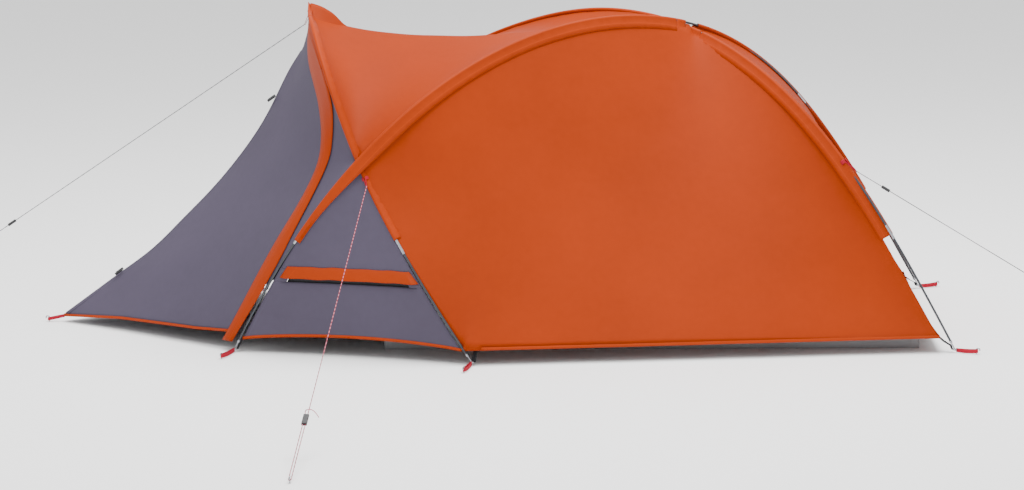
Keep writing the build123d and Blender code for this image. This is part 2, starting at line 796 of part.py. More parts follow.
with BuildPart() as guyline_front:
    cord([FRONT_GUY_TOP, FRONT_GUY_END], None)
save(guyline_front.part, "guyline_front")
print("front guy length", (FRONT_GUY_END - FRONT_GUY_TOP).length)

with BuildPart() as guyline_rear:
    cord([REAR_GUY_TOP, REAR_GUY_END], None)
save(guyline_rear.part, "guyline_rear")
print("rear guy length", (REAR_GUY_END - REAR_GUY_TOP).length)

with BuildPart() as guy_peg_near:
    peg(between(NEAR_GUY_PEG, peg_left, 0.5) + Vector(0, PEG_R + CORD_R + 0.8, 0), Vector(0, -1, 0))
save(guy_peg_near.part, "guy_peg_near")

RUNNERS = {
    "guy_runner_near": (between(NEAR_GUY_TOP, NEAR_GUY_PEG, RUNNER_SHARE), near_along, RUNNER_LENGTH, 2),
    "guy_runner_front": (
        between(FRONT_GUY_TOP, FRONT_GUY_END, 0.945),
        unit(FRONT_GUY_TOP, FRONT_GUY_END),
        SMALL_RUNNER_LENGTH,
        1,
    ),
    "guy_runner_rear": (
        between(REAR_GUY_TOP, REAR_GUY_END, 0.17),
        unit(REAR_GUY_TOP, REAR_GUY_END),
        SMALL_RUNNER_LENGTH,
        1,
    ),
}
for runner_name, (runner_middle, runner_along, runner_length, runner_strands) in RUNNERS.items():
    with BuildPart() as guy_runner:
        runner(runner_middle, runner_along, runner_length, runner_strands)
    save(guy_runner.part, runner_name)


def webbing_eye(start, end, band):
    """A flat eye of webbing between two points, added to the open part."""
    along = unit(start, end)
    across = along.cross(Vector(0, 0, 1)).normalized()
    lay = Plane(between(start, end, 0.5), x_dir=along, z_dir=along.cross(across))
    length = (end - start).length
    with BuildSketch(lay) as section:
        SlotOverall(length, PEG_LOOP_WIDTH)
        SlotOverall(length - 2 * band, PEG_LOOP_WIDTH - 2 * band, mode=Mode.SUBTRACT)
    extrude(section.sketch, amount=GUY_LOOP_T / 2, both=True)


with BuildPart() as guy_end_loops:
    for end, along in (
        (FRONT_GUY_END, unit(FRONT_GUY_TOP, FRONT_GUY_END)),
        (REAR_GUY_END, unit(REAR_GUY_TOP, REAR_GUY_END)),
    ):
        webbing_eye(end + along * CORD_GAP, end + along * LOOP_LENGTH, PEG_LOOP_BAND)
save(guy_end_loops.part, "guy_end_loops")

BAND_R = SLEEVE_R + 0.8
BAND_T = 1.6
BAND_LENGTH = 16
with BuildPart() as guy_bands:
    for path, place, top in (
        (HOOP, at_height(HOOP_NEAR_UP, 655), NEAR_GUY_TOP),
        (POLE_B, at_station(POLE_B, 1222), REAR_GUY_TOP),
        (HOOP, HOOP[PATH_SAMPLES // 2], FRONT_GUY_TOP),
    ):
        nearest = min(range(1, PATH_SAMPLES), key=lambda i: (path[i] - place).length)
        tangent = unit(path[nearest - 1], path[nearest + 1])
        with BuildSketch(Plane(path[nearest] - tangent * (BAND_LENGTH / 2), z_dir=tangent)):
            Circle(BAND_R + BAND_T)
            Circle(BAND_R, mode=Mode.SUBTRACT)
        extrude(amount=BAND_LENGTH)
save(guy_bands.part, "guy_bands")
print("main pole", MAIN_LENGTH, "hoop", HOOP_LENGTH)
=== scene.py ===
import math

import bpy
import numpy as np
from mathutils import Matrix, Vector


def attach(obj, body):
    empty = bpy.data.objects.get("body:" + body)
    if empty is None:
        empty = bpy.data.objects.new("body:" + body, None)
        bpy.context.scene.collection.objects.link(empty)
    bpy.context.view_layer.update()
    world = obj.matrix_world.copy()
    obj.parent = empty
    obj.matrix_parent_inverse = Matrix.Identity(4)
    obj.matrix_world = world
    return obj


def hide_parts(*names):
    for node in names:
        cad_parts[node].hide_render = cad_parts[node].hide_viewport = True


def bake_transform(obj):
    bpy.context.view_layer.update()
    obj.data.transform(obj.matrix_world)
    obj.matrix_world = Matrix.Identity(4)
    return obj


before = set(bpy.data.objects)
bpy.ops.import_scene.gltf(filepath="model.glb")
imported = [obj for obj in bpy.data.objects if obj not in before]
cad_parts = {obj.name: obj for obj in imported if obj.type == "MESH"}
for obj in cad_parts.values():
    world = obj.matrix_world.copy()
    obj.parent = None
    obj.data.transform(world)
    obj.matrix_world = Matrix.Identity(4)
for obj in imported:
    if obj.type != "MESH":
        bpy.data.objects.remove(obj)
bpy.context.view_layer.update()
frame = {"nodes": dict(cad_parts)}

# --- Driving dimensions, metres ---------------------------------------------------------
# Way points of a main pole, from its front foot at -Y to its rear foot at +Y.
MAIN_POLE = [
    (-1.065, -0.590, 0.0),
    (-0.815, -0.635, 0.435),
    (-0.590, -0.640, 0.722),
    (0.005, -0.325, 1.130),
    (0.310, -0.180, 1.200),
    (0.660, 0.0, 1.155),
    (1.220, 0.440, 0.690),
    (1.630, 0.640, 0.0),
]
CROSSING = 5
CROSSING_LIFT = 0.009
HOOP_HALF = [
    (-0.800, 0.0, 1.218),
    (-0.770, 0.300, 1.188),
    (-0.718, 0.490, 1.068),
    (-0.588, 0.620, 0.728),
    (-0.405, 0.740, 0.382),
    (-0.155, 0.850, 0.0),
]
SIDES = (("near", 1), ("far", -1))
HEM_START = 39
TOP_X = 0.660
NEAR_CROSSING_Z = 0.722
HEM_Z = 0.056
DOOR_HEM = [(0.0, 0.022), (0.3, 0.046), (0.74, 0.058), (1.0, 0.075)]
CLOTH = 0.0008
VESTIBULE_RIDGE = [
    (-1.796, 0.026),
    (-1.675, 0.114),
    (-1.555, 0.201),
    (-1.435, 0.290),
    (-1.318, 0.403),
    (-1.218, 0.503),
    (-1.078, 0.666),
    (-0.986, 0.800),
    (-0.933, 0.900),
    (-0.873, 1.013),
    (-0.821, 1.102),
    (-0.803, 1.192),
]
CANOPY_RIDGE = [
    (-0.800, 1.212),
    (-0.745, 1.186),
    (-0.685, 1.163),
    (-0.558, 1.140),
    (-0.407, 1.122),
    (-0.200, 1.118),
    (0.0, 1.130),
    (0.300, 1.152),
    (0.660, 1.142),
]
GUSSET_RIDGE = [(-0.801, 1.250), (-0.758, 1.236), (-0.713, 1.209), (-0.688, 1.181), (-0.665, 1.157)]
FLAP_INNER = [
    (0.03, 0.915),
    (0.15, 0.91),
    (0.28, 0.89),
    (0.43, 0.86),
    (0.53, 0.845),
    (0.66, 0.81),
    (0.77, 0.785),
    (0.88, 0.77),
    (0.97, 0.72),
    (1.09, 0.46),
    (1.2, 0.40),
]
FLAP_OUTER = [
    (0.03, 0.97),
    (0.23, 0.985),
    (0.36, 0.98),
    (0.51, 0.93),
    (0.65, 0.875),
    (0.74, 0.86),
    (0.83, 0.885),
    (0.94, 0.965),
    (1.05, 0.985),
    (1.2, 0.985),
]
DOOR_TOP = 1.185
SLEEVE_R = 0.0078
SLEEVE_SKIRT = 0.044
HOOP_SKIRT = 0.020
HORN = 0.030
SLEEVE_START = 0.500
HOOP_SLEEVE_START = 0.548
SLEEVE_END_X = 0.640
VENT_TOP = 0.332
VENT_BOTTOM = 0.289
FLOOR = ((-0.500, 1.500), 0.555, 0.120)
INNER_SECTIONS = [
    (-0.500, 0.400, 0.660, 0.970),
    (0.100, 0.260, 0.960, 1.050),
    (0.660, 0.130, 0.860, 1.010),
    (1.100, 0.300, 0.590, 0.660),
    (1.440, 0.470, 0.190, 0.215),
]
INNER_DOOR = (-0.246, 0.246, 0.154, 0.626)
INNER_FRONT_X = -0.505
DOOR_GAP = 0.004
CORD_R = 0.0015


# --- Curves -----------------------------------------------------------------------------
def spline(way_points, count=1400):
    """Points evenly spaced along the natural cubic through the way points."""
    p = np.array(way_points, float)
    t = np.r_[0, np.cumsum(np.linalg.norm(np.diff(p, axis=0), axis=1))]
    h = np.diff(t)
    n = len(p)
    a = np.eye(n)
    b = np.zeros((n, 3))
    for i in range(1, n - 1):
        a[i, i - 1 : i + 2] = h[i - 1], 2 * (h[i - 1] + h[i]), h[i]
        b[i] = 6 * ((p[i + 1] - p[i]) / h[i] - (p[i] - p[i - 1]) / h[i - 1])
    m = np.linalg.solve(a, b)
    s = np.linspace(0, t[-1], count)
    k = np.clip(np.searchsorted(t, s, side="right") - 1, 0, n - 2)
    u = ((s - t[k]) / h[k])[:, None]
    hk = h[k][:, None]
    curve = (1 - u) * p[k] + u * p[k + 1] + hk**2 / 6 * (((1 - u) ** 3 - (1 - u)) * m[k] + (u**3 - u) * m[k + 1])
    return even(curve, count)


def even(curve, count):
    d = np.r_[0, np.cumsum(np.linalg.norm(np.diff(curve, axis=0), axis=1))]
    s = np.linspace(0, d[-1], count)
    return np.stack([np.interp(s, d, curve[:, i]) for i in range(3)], 1)


def length_of(curve):
    return float(np.linalg.norm(np.diff(curve, axis=0), axis=1).sum())


def mirrored(curve):
    return curve * np.array([1, -1, 1])


def main_pole(lift):
    points = list(MAIN_POLE)
    x, y, z = points[CROSSING]
    points[CROSSING] = (x, y, z + lift)
    return spline(points)


POLE_A = main_pole(CROSSING_LIFT)
POLE_B = mirrored(main_pole(-CROSSING_LIFT))
HOOP = spline([(x, -y, z) for x, y, z in reversed(HOOP_HALF)] + HOOP_HALF[1:])
HALF = len(HOOP) // 2
HOOP_NEAR_UP = HOOP[: HALF + 1]
SIDE_ARCS = {1: (POLE_A, POLE_B), -1: (mirrored(POLE_B), mirrored(POLE_A))}


def at_x(curve, x):
    order = np.argsort(curve[:, 0], kind="stable")
    c = curve[order]
    return np.array([x, np.interp(x, c[:, 0], c[:, 1]), np.interp(x, c[:, 0], c[:, 2])])


def at_z(curve, z):
    top = int(np.argmax(curve[:, 2]))
    c = curve[: top + 1]
    return np.array([np.interp(z, c[:, 2], c[:, 0]), np.interp(z, c[:, 2], c[:, 1]), z])


def table(rows, value):
    return float(np.interp(value, [r[0] for r in rows], [r[1] for r in rows]))


def smooth_table(rows, value):
    """A table read through a short running mean, so that its corners are soft."""
    return float(np.mean([table(rows, value + d) for d in np.linspace(-0.05, 0.05, 9)]))


def unit(v):
    return v / max(np.linalg.norm(v), 1e-9)


def ease(t):
    t = np.clip(t, 0, 1)
    return t * t * (3 - 2 * t)


def ripple(u, v, scale, seed):
    """Smooth random value from -1 to 1 at (u, v): a few crossed waves."""
    r = np.random.default_rng(seed)
    total = 0.0
    for _ in range(6):
        a = r.uniform(0, 2 * math.pi)
        k = r.uniform(0.6, 1.7) / scale
        total = total + np.sin(2 * math.pi * k * (u * math.cos(a) + v * math.sin(a)) + r.uniform(0, 6.28))
    return total / 6


# --- Meshes -----------------------------------------------------------------------------
def grid(name, points, uv=None, thick=CLOTH, closed=False):
    """A cloth mesh from points[i][j], thickened into a closed solid."""
    p = np.asarray(points, float)
    nu, nv = p.shape[:2]
    verts = p.reshape(-1, 3)
    faces = []
    cols = nv if closed else nv - 1
    for i in range(nu - 1):
        for j in range(cols):
            k = (j + 1) % nv
            faces.append((i * nv + j, (i + 1) * nv + j, (i + 1) * nv + k, i * nv + k))
    mesh = bpy.data.meshes.new(name)
    mesh.from_pydata([tuple(v) for v in verts], [], faces)
    layer = mesh.uv_layers.new(name="UVMap")
    if uv is None:
        du = np.zeros((nu, nv))
        dv = np.zeros((nu, nv))
        du[1:] = np.cumsum(np.linalg.norm(np.diff(p, axis=0), axis=2), axis=0)
        dv[:, 1:] = np.cumsum(np.linalg.norm(np.diff(p, axis=1), axis=2), axis=1)
        du = np.repeat(du[:, nv // 2][:, None], nv, 1)
        uv = np.stack([du, dv], 2)
    flat = uv.reshape(-1, 2)
    for poly in mesh.polygons:
        poly.use_smooth = True
        for li in poly.loop_indices:
            layer.data[li].uv = flat[mesh.loops[li].vertex_index]
    obj = bpy.data.objects.new(name, mesh)
    bpy.context.scene.collection.objects.link(obj)
    if thick:
        thicken(obj, thick)
    return obj


def apply_modifiers(obj):
    bpy.context.view_layer.objects.active = obj
    for m in list(obj.modifiers):
        bpy.ops.object.modifier_apply(modifier=m.name)


def thicken(obj, thick, offset=0.0):
    m = obj.modifiers.new("cloth", "SOLIDIFY")
    m.thickness = thick
    m.offset = offset
    apply_modifiers(obj)


def paint(obj, finish):
    """Gives a piece the material of one of FINISHES; the slot listed with it is not used."""
    material, slot = FINISHES[finish]
    obj.data.materials.clear()
    obj.data.materials.append(material)


def closed_loop(p):
    """The points of a net that closes on itself, with its first column repeated."""
    return np.concatenate([p, p[:, :1]], 1)


def declare(p):
    """Turns a cloth panel's points into an array and does nothing more with them."""
    p = np.asarray(p, float)


def cloth(obj, p, finish, node=None, body="tent"):
    """Finishes a cloth piece: its material, the body it rides on and its CAD node, which it hides."""
    paint(obj, finish)
    if body:
        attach(obj, body)
    if node:
        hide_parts(node)
    declare(p)


# --- Materials --------------------------------------------------------------------------
class Shader:
    """A new material's node tree, with short ways to add the nodes used here."""

    def __init__(self, name):
        self.material = bpy.data.materials.new(name)
        self.material.use_nodes = True
        self.nodes = self.material.node_tree.nodes
        self.links = self.material.node_tree.links
        self.inputs = self.nodes["Principled BSDF"].inputs

    def set(self, name, value):
        """Links the principled shader's input to a socket, or sets it to a constant."""
        if isinstance(value, bpy.types.NodeSocket):
            self.links.new(value, self.inputs[name])
        else:
            self.inputs[name].default_value = value

    def add(self, kind, **sockets):
        node = self.nodes.new("ShaderNode" + kind)
        for name, value in sockets.items():
            if isinstance(value, bpy.types.NodeSocket):
                self.links.new(value, node.inputs[name])
            else:
                node.inputs[name].default_value = value
        return node

    def coordinates(self, scale=(1, 1, 1), source="Object"):
        coord = self.nodes.new("ShaderNodeTexCoord")
        return self.add("Mapping", Vector=coord.outputs[source], Scale=scale).outputs["Vector"]

    def math(self, operation, a, b=None):
        node = self.nodes.new("ShaderNodeMath")
        node.operation = operation
        for i, value in enumerate((a, b)):
            if isinstance(value, bpy.types.NodeSocket):
                self.links.new(value, node.inputs[i])
            elif value is not None:
                node.inputs[i].default_value = value
        return node.outputs[0]

    def noise(self, vector, scale, detail=3.0):
        return self.add("TexNoise", Vector=vector, Scale=scale, Detail=detail).outputs["Fac"]

    def ramp(self, factor, stops):
        node = self.add("ValToRGB", Fac=factor)
        elements = node.color_ramp.elements
        for element, (position, colour) in ((elements[0], stops[0]), (elements[1], stops[-1])):
            element.position = position
            element.color = (*colour, 1)
        for position, colour in stops[1:-1]:
            elements.new(position).color = (*colour, 1)
        return node.outputs["Color"]

    def bump(self, height, strength, distance, chain=None):
        node = self.add("Bump", Height=height, Strength=strength, Distance=distance)
        if chain is not None:
            self.links.new(chain, node.inputs["Normal"])
        return node.outputs["Normal"]


def shade(colour, k):
    return tuple(min(1.0, c * k) for c in colour)


def woven(name, colour, roughness=0.6, pitch=0.0012, glow=0.0):
    """Cloth: threads both ways, soft colour change and creases; glow lets light through."""
    s = Shader(name)
    vector = s.coordinates()
    broad = s.noise(vector, 2.2)
    fine = s.noise(vector, 38.0)
    mixed = s.math("ADD", s.math("MULTIPLY", broad, 0.75), s.math("MULTIPLY", fine, 0.25))
    s.set("Base Color", s.ramp(mixed, [(0.3, shade(colour, 0.90)), (0.5, colour), (0.72, shade(colour, 1.10))]))
    split = s.add("SeparateXYZ", Vector=s.coordinates((1 / pitch, 1 / pitch, 1), "UV"))
    threads = [s.math("SINE", s.math("MULTIPLY", split.outputs[k], 6.283)) for k in (0, 1)]
    creases = s.bump(s.noise(s.coordinates((1, 1, 1.6)), 9.0, 4.0), 0.21, 0.006)
    s.set("Normal", s.bump(s.math("MULTIPLY", *threads), 0.12, pitch * 0.2, creases))
    s.set("Roughness", s.math("ADD", s.math("MULTIPLY", broad, 0.12), roughness - 0.06))
    s.set("Sheen Weight", 0.0)
    s.set("Sheen Roughness", 0.5)
    s.set("Specular IOR Level", 0.09)
    if glow:
        through = s.add("BsdfTranslucent", Color=(*shade(colour, 1.2), 1))
        mix = s.add("MixShader", Fac=glow)
        s.links.new(s.nodes["Principled BSDF"].outputs["BSDF"], mix.inputs[1])
        s.links.new(through.outputs["BSDF"], mix.inputs[2])
        s.links.new(mix.outputs["Shader"], s.nodes["Material Output"].inputs["Surface"])
    return s


def stitched(name, colour, thread, width, rows=(0.14, 0.86), roughness=0.6, glow=0.0):
    """Cloth band with rows of stitches: U runs along it and V across it, both in metres."""
    s = woven(name, colour, roughness=roughness, glow=glow)
    split = s.add("SeparateXYZ", Vector=s.coordinates(source="UV"))
    dash = s.math("LESS_THAN", s.math("FRACT", s.math("MULTIPLY", split.outputs[0], 260.0)), 0.62)
    seams = None
    for row in rows:
        away = s.math("ABSOLUTE", s.math("SUBTRACT", split.outputs[1], row * width))
        line = s.math("LESS_THAN", away, 0.0006)
        seams = line if seams is None else s.math("MAXIMUM", seams, line)
    mix = s.nodes.new("ShaderNodeMix")
    mix.data_type = "RGBA"
    s.links.new(s.math("MULTIPLY", seams, dash), mix.inputs["Factor"])
    s.links.new(s.inputs["Base Color"].links[0].from_socket, mix.inputs["A"])
    mix.inputs["B"].default_value = (*thread, 1)
    s.set("Base Color", mix.outputs["Result"])
    return s


def metal(name, colour, roughness, wear=0.12):
    s = Shader(name)
    vector = s.coordinates()
    fleck = s.noise(vector, 60.0, 5.0)
    s.set("Base Color", s.ramp(fleck, [(0.35, shade(colour, 1 - wear)), (0.6, colour)]))
    s.set("Metallic", 1.0)
    s.set("Roughness", s.math("ADD", s.math("MULTIPLY", fleck, 0.2), roughness - 0.1))
    s.set("Normal", s.bump(s.noise(vector, 400.0), 0.08, 0.0004))
    return s


def plastic(name, colour, roughness, coat=0.0):
    s = Shader(name)
    vector = s.coordinates()
    fleck = s.noise(vector, 25.0, 4.0)
    s.set("Base Color", s.ramp(fleck, [(0.35, shade(colour, 0.8)), (0.65, shade(colour, 1.25))]))
    s.set("Roughness", s.math("ADD", s.math("MULTIPLY", fleck, 0.15), roughness - 0.07))
    s.set("Normal", s.bump(s.noise(vector, 220.0), 0.1, 0.0004))
    s.set("Coat Weight", coat)
    return s


def braided(name, colour, mark, pitch=0.009):
    """Cord: a twist of darker and lighter threads along its length."""
    s = Shader(name)
    wave = s.add("TexWave", Vector=s.coordinates(), Scale=1 / pitch / 6.0, Distortion=1.5)
    wave.wave_type = "BANDS"
    wave.bands_direction = "DIAGONAL"
    s.set("Base Color", s.ramp(wave.outputs["Fac"], [(0.35, colour), (0.6, mark)]))
    s.set("Normal", s.bump(wave.outputs["Fac"], 0.4, 0.0006))
    s.set("Roughness", 0.75)
    return s


def knitted(name, colour):
    """Mesh cloth: round holes in rows, seen as fine dark points."""
    s = Shader(name)
    cells = s.add("TexVoronoi", Vector=s.coordinates((420, 420, 1), "UV"), Scale=1.0, Randomness=0.1)
    s.set("Base Color", s.ramp(cells.outputs["Distance"], [(0.2, shade(colour, 0.3)), (0.5, colour)]))
    s.set("Normal", s.bump(cells.outputs["Distance"], 0.5, 0.001))
    s.set("Roughness", 0.85)
    return s


ORANGE = (0.30, 0.0295, 0.0012)
GREY = (0.071, 0.060, 0.089)
RED = (0.30, 0.008, 0.022)
BLACK = (0.016, 0.016, 0.018)
SHADERS = {
    "fly": woven("fly_orange", ORANGE, roughness=0.58, glow=0.12),
    "sleeve": stitched(
        "sleeve_orange", shade(ORANGE, 1.04), shade(ORANGE, 1.5), 0.1, rows=(0.55, 0.9), roughness=0.5, glow=0.06
    ),
    "hem": stitched("hem_orange", shade(ORANGE, 0.98), shade(ORANGE, 1.5), 0.012, rows=(0.3,), roughness=0.55),
    "flap": stitched("flap_orange", shade(ORANGE, 0.92), shade(ORANGE, 1.4), 0.045, roughness=0.52),
    "grey": woven("fly_grey", GREY, roughness=0.6, glow=0.08),
    "grey_tape": stitched("ridge_grey", shade(GREY, 0.95), shade(GREY, 1.5), 0.03, roughness=0.55),
    "mesh": knitted("mesh_black", (0.02, 0.02, 0.024)),
    "pole": plastic("pole_fibreglass", (0.016, 0.020, 0.026), 0.35, coat=0.2),
    "ferrule": metal("ferrule_metal", (0.40, 0.42, 0.45), 0.30),
    "steel": metal("steel", (0.34, 0.35, 0.37), 0.25),
    "black_web": stitched("webbing_black", (0.02, 0.02, 0.022), (0.10, 0.10, 0.11), 0.018, roughness=0.8),
    "red_web": stitched("webbing_red", RED, shade(RED, 1.7), 0.012, roughness=0.75),
    "floor": woven("groundsheet", (0.30, 0.30, 0.31), roughness=0.45, pitch=0.0035),
    "inner": woven("inner_white", (0.46, 0.46, 0.47), roughness=0.7, glow=0.2),
    "plastic": plastic("plastic_black", BLACK, 0.42),
    "zip": knitted("zip_black", (0.03, 0.03, 0.032)),
    "red_cord": braided("cord_red", (0.20, 0.006, 0.025), (0.50, 0.16, 0.20)),
    "dark_cord": braided("cord_dark", (0.03, 0.03, 0.035), (0.16, 0.15, 0.17)),
}
SHADERS["hanger"] = SHADERS["black_web"]
SLOTS = {
    "fly": "fly_orange",
    "sleeve": "sleeve_orange",
    "hem": "fly_orange",
    "flap": "fly_orange",
    "grey": "fly_grey",
    "grey_tape": "fly_grey",
    "mesh": "mesh_black",
    "zip": "plastic_black",
    "floor": "groundsheet_fabric",
    "inner": "inner_fabric",
    "black_web": "webbing_black",
    "hanger": "inner_fabric",
    "red_web": "webbing_red",
    "red_cord": "cord_red",
    "dark_cord": "cord_dark",
}
FINISHES = {key: (shader.material, SLOTS.get(key)) for key, shader in SHADERS.items()}


def relaxed(p, rounds):
    """The net of a stretched membrane: every inner point settles between its neighbours."""
    p = p.copy()
    for _ in range(rounds):
        p[1:-1, 1:-1] += 0.9 * (0.25 * (p[2:, 1:-1] + p[:-2, 1:-1] + p[1:-1, 2:] + p[1:-1, :-2]) - p[1:-1, 1:-1])
    return p


def fin_gap(x):
    """How far the panel stays below the rear leg, where its sleeve ends."""
    return 0.006 + 0.070 * float(ease((x - 1.12) / 0.22))


# --- Fly: side panels -------------------------------------------------------------------
def hem_y(x):
    (x0, y0, _), (x1, y1, _) = HOOP_HALF[-1], MAIN_POLE[-1]
    return y0 + (y1 - y0) * (x - x0) / (x1 - x0)


def side_point_pair(x, side):
    arc = SIDE_ARCS[side][0] if x < TOP_X else SIDE_ARCS[side][1]
    high = at_x(arc, x)
    hoop_x = at_z(HOOP_NEAR_UP, HEM_Z)[0]
    low = at_x(HOOP_NEAR_UP, x) if x < hoop_x else np.array([x, -hem_y(x), HEM_Z])
    return low, high


def side_points(side):
    """The side cloth: pulled straight from hem to pole, settled, then with its soft waves."""
    xs = np.r_[np.linspace(-0.572, -0.13, HEM_START + 1)[:-1], np.linspace(-0.13, 1.566, 130)]
    rows = 44
    p = np.zeros((len(xs), rows, 3))
    spans = []
    for i, x in enumerate(xs):
        low, high = side_point_pair(x, side)
        run = unit(high - low)
        high = high - run * min(fin_gap(x), np.linalg.norm(high - low) * 0.97)
        spans.append(np.linalg.norm(high - low))
        p[i] = low + (high - low) * np.linspace(0, 1, rows)[:, None]
    p = relaxed(p, 1500)
    for i, x in enumerate(xs):
        span = spans[i]
        for j, v in enumerate(np.linspace(0, 1, rows)):
            full = min(1, span / 0.5) * math.sin(math.pi * v) * min(1, i / 12)
            soft = 0.016 * full + 0.0040 * full * float(ripple(x, v * 0.9, 0.62, 3 + side))
            near_seam = math.exp(-(1 - v) * span / 0.05) * min(1, (1 - v) * 20)
            near_hem = math.exp(-v * span / 0.08) * min(1, i / 30)
            pucker = 0.0020 * float(ripple(x, 0.0, 0.085, 11 + side)) * near_seam
            hem_wave = 0.0025 * float(ripple(x, 0.0, 0.30, 19 + side)) * near_hem
            p[i, j, 1] += soft + pucker + hem_wave
    p[:, :, 1] *= side
    return p


def band(name, upper, lower, finish, body):
    """A cloth strip between two curves of the same number of points."""
    p = np.stack([upper + (lower - upper) * t for t in np.linspace(0, 1, 4)], 1)
    obj = grid(name, p, thick=0.0012)
    paint(obj, finish)
    if body:
        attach(obj, body)
    return obj


def hem_band(name, low, out, height, body="tent"):
    """The folded hem that covers the lowest height of a panel on its outer side."""
    return band(name, low + np.array([0, 0, height]) + out, low + out + np.array([0, 0, -0.001]), "hem", body)


pole_edge = {}
for side_name, side in SIDES:
    p = side_points(side)
    pole_edge[side_name] = p[:, -1]
    panel = grid(f"fly_side_{side_name}_cloth", p)
    low = p[HEM_START:, 0]
    out = np.array([0, -0.0014 * side, 0])
    hem = band(f"fly_hem_{side_name}", low + np.array([0, 0, 0.012]) + out, low + out * 1.2, "hem", "tent")
    cloth(panel, p, "fly", f"fly_side_{side_name}")


# --- Fly: front canopy and rear panel ---------------------------------------------------
def roof_section(edge, ridge_z, rows, dip):
    """A line across the tent through the ridge height, hollow between edge and ridge."""
    line = []
    for v in np.linspace(-1, 1, rows):
        share = abs(v) ** 1.22
        z = ridge_z + (edge[2] - ridge_z) * share - dip * math.sin(math.pi * abs(v))
        line.append((0.0, v * abs(edge[1]), z))
    return np.array(line)


def canopy_edge(x):
    if x < -0.590:
        return at_x(HOOP_NEAR_UP, x)
    return at_x(POLE_A, x)


canopy_x = np.r_[np.linspace(-0.797, -0.70, 12)[:-1], np.linspace(-0.70, 0.640, 84)]
canopy_rows = 61
canopy_p = np.zeros((len(canopy_x), canopy_rows, 3))
for i, x in enumerate(canopy_x):
    edge = canopy_edge(x) + np.array([0, 0.004, -0.004])
    canopy_p[i] = roof_section(edge, smooth_table(CANOPY_RIDGE, x), canopy_rows, 0.010 * min(1, (x + 0.8) / 0.15))
    canopy_p[i, :, 0] = x
middle_row = canopy_rows // 2
near_half = relaxed(canopy_p[:, : middle_row + 1], 260)
far_half = near_half[:, ::-1] * np.array([1, -1, 1])
canopy_p = np.concatenate([near_half, far_half[:, 1:]], 1)
for i, x in enumerate(canopy_x):
    for j, v in enumerate(np.linspace(-1, 1, canopy_rows)):
        fade = min(1, (x + 0.8) / 0.2)
        soft = 0.0035 * float(ripple(x * 0.7, v * 0.35, 0.33, 23)) * (1 - abs(v) ** 3) * fade
        pucker = 0.0018 * float(ripple(x, 0.0, 0.07, 29)) * math.exp(-(1 - abs(v)) * 10) * fade
        canopy_p[i, j, 2] += soft + pucker
cloth(grid("fly_front_cloth", canopy_p), canopy_p, "fly", "fly_front_canopy")

rear_x = np.linspace(0.672, 1.566, 70)
rear_rows = 45
rear_p = np.zeros((len(rear_x), rear_rows, 3))
for i, x in enumerate(rear_x):
    near_edge, far_edge = (at_x(pole_edge[label], x) for label in ("near", "far"))
    half = abs(near_edge[1])
    for j, v in enumerate(np.linspace(-1, 1, rear_rows)):
        dip = (0.014 + 0.02 * half) * (1 - v * v)
        soft = 0.003 * float(ripple(x * 0.6, v * 0.4, 0.4, 31)) * (1 - abs(v) ** 3)
        line = near_edge + (far_edge - near_edge) * (v + 1) / 2
        rear_p[i, j] = (x, line[1], line[2] - dip * 0.8 + soft * min(1, half / 0.2))
rear = grid("fly_rear_cloth", rear_p)
rear_low = rear_p[-1]
rear_hem = band(
    "fly_hem_rear", rear_low + np.array([-0.002, 0, 0.010]), rear_low + np.array([0.002, 0, -0.002]), "hem", "tent"
)
cloth(rear, rear_p, "fly", "fly_rear")


# --- Sleeves ----------------------------------------------------------------------------
def sleeve(name, path, start, end, skirt_to, skirt, node, horn, count):
    """A cloth tunnel round a pole with a stitched skirt that hangs towards skirt_to(point)."""
    total = length_of(path)
    dense = even(path, 2400)
    i0, i1 = int(start / total * 2399), int(end / total * 2399)
    centre = even(dense[i0 : i1 + 1], count)
    tangent = np.gradient(centre, axis=0)
    rings = []
    uvs = []
    travelled = np.r_[0, np.cumsum(np.linalg.norm(np.diff(centre, axis=0), axis=1))]
    for k, (c, t) in enumerate(zip(centre, tangent)):
        t = unit(t)
        down = skirt_to(c)
        down = unit(down - t * np.dot(down, t))
        out = np.cross(t, down)
        if out[1] * (1 if c[1] >= 0 else -1) < 0 and abs(c[1]) > 0.03:
            out = -out
        s = travelled[k]
        end_fade = ease(min(s, travelled[-1] - s) / 0.015)
        wave = 1 + 0.10 * float(ripple(s, 0, 0.06, 41)) + 0.05 * float(ripple(s, 0, 0.022, 43))
        r = SLEEVE_R * (0.94 + 0.05 * end_fade) * (0.98 + 0.04 * wave)
        crest = horn * max(0.0, 1 - np.linalg.norm(c - HOOP[HALF]) / 0.15) ** 1.5
        ring = []
        for a in np.linspace(-115, 115, 13):
            rad = math.radians(a)
            peak = crest * math.cos(rad) ** 6 * (abs(a) < 90)
            ring.append(c - down * (r + peak) * math.cos(rad) + out * r * math.sin(rad))
        length = skirt * (0.96 + 0.06 * wave)
        if c[0] < -0.5 and skirt > HOOP_SKIRT:
            length *= 0.40 + 0.60 * float(ease((c[2] - 0.48) / 0.34))
        flutter = 0.0016 * float(ripple(s, 0, 0.045, 47))
        ring.append(c + down * (r * 1.4) + out * (0.0042 + flutter))
        ring.append(c + down * length * 0.6 + out * (0.0034 + flutter * 1.6))
        ring.append(c + down * length + out * 0.0026)
        ring.append(c + down * length - out * 0.0016)
        ring.append(c + down * length * 0.6 - out * 0.0012)
        ring.append(c + down * (r * 1.4) - out * 0.0036)
        rings.append(ring)
        gaps = np.r_[0, np.cumsum([np.linalg.norm(ring[m + 1] - ring[m]) for m in range(len(ring) - 1)])]
        uvs.append([(s, g) for g in gaps])
    p = np.array(rings)
    obj = grid(name, p, uv=np.array(uvs), thick=0.0007, closed=True)
    cloth(obj, closed_loop(p), "sleeve", node)


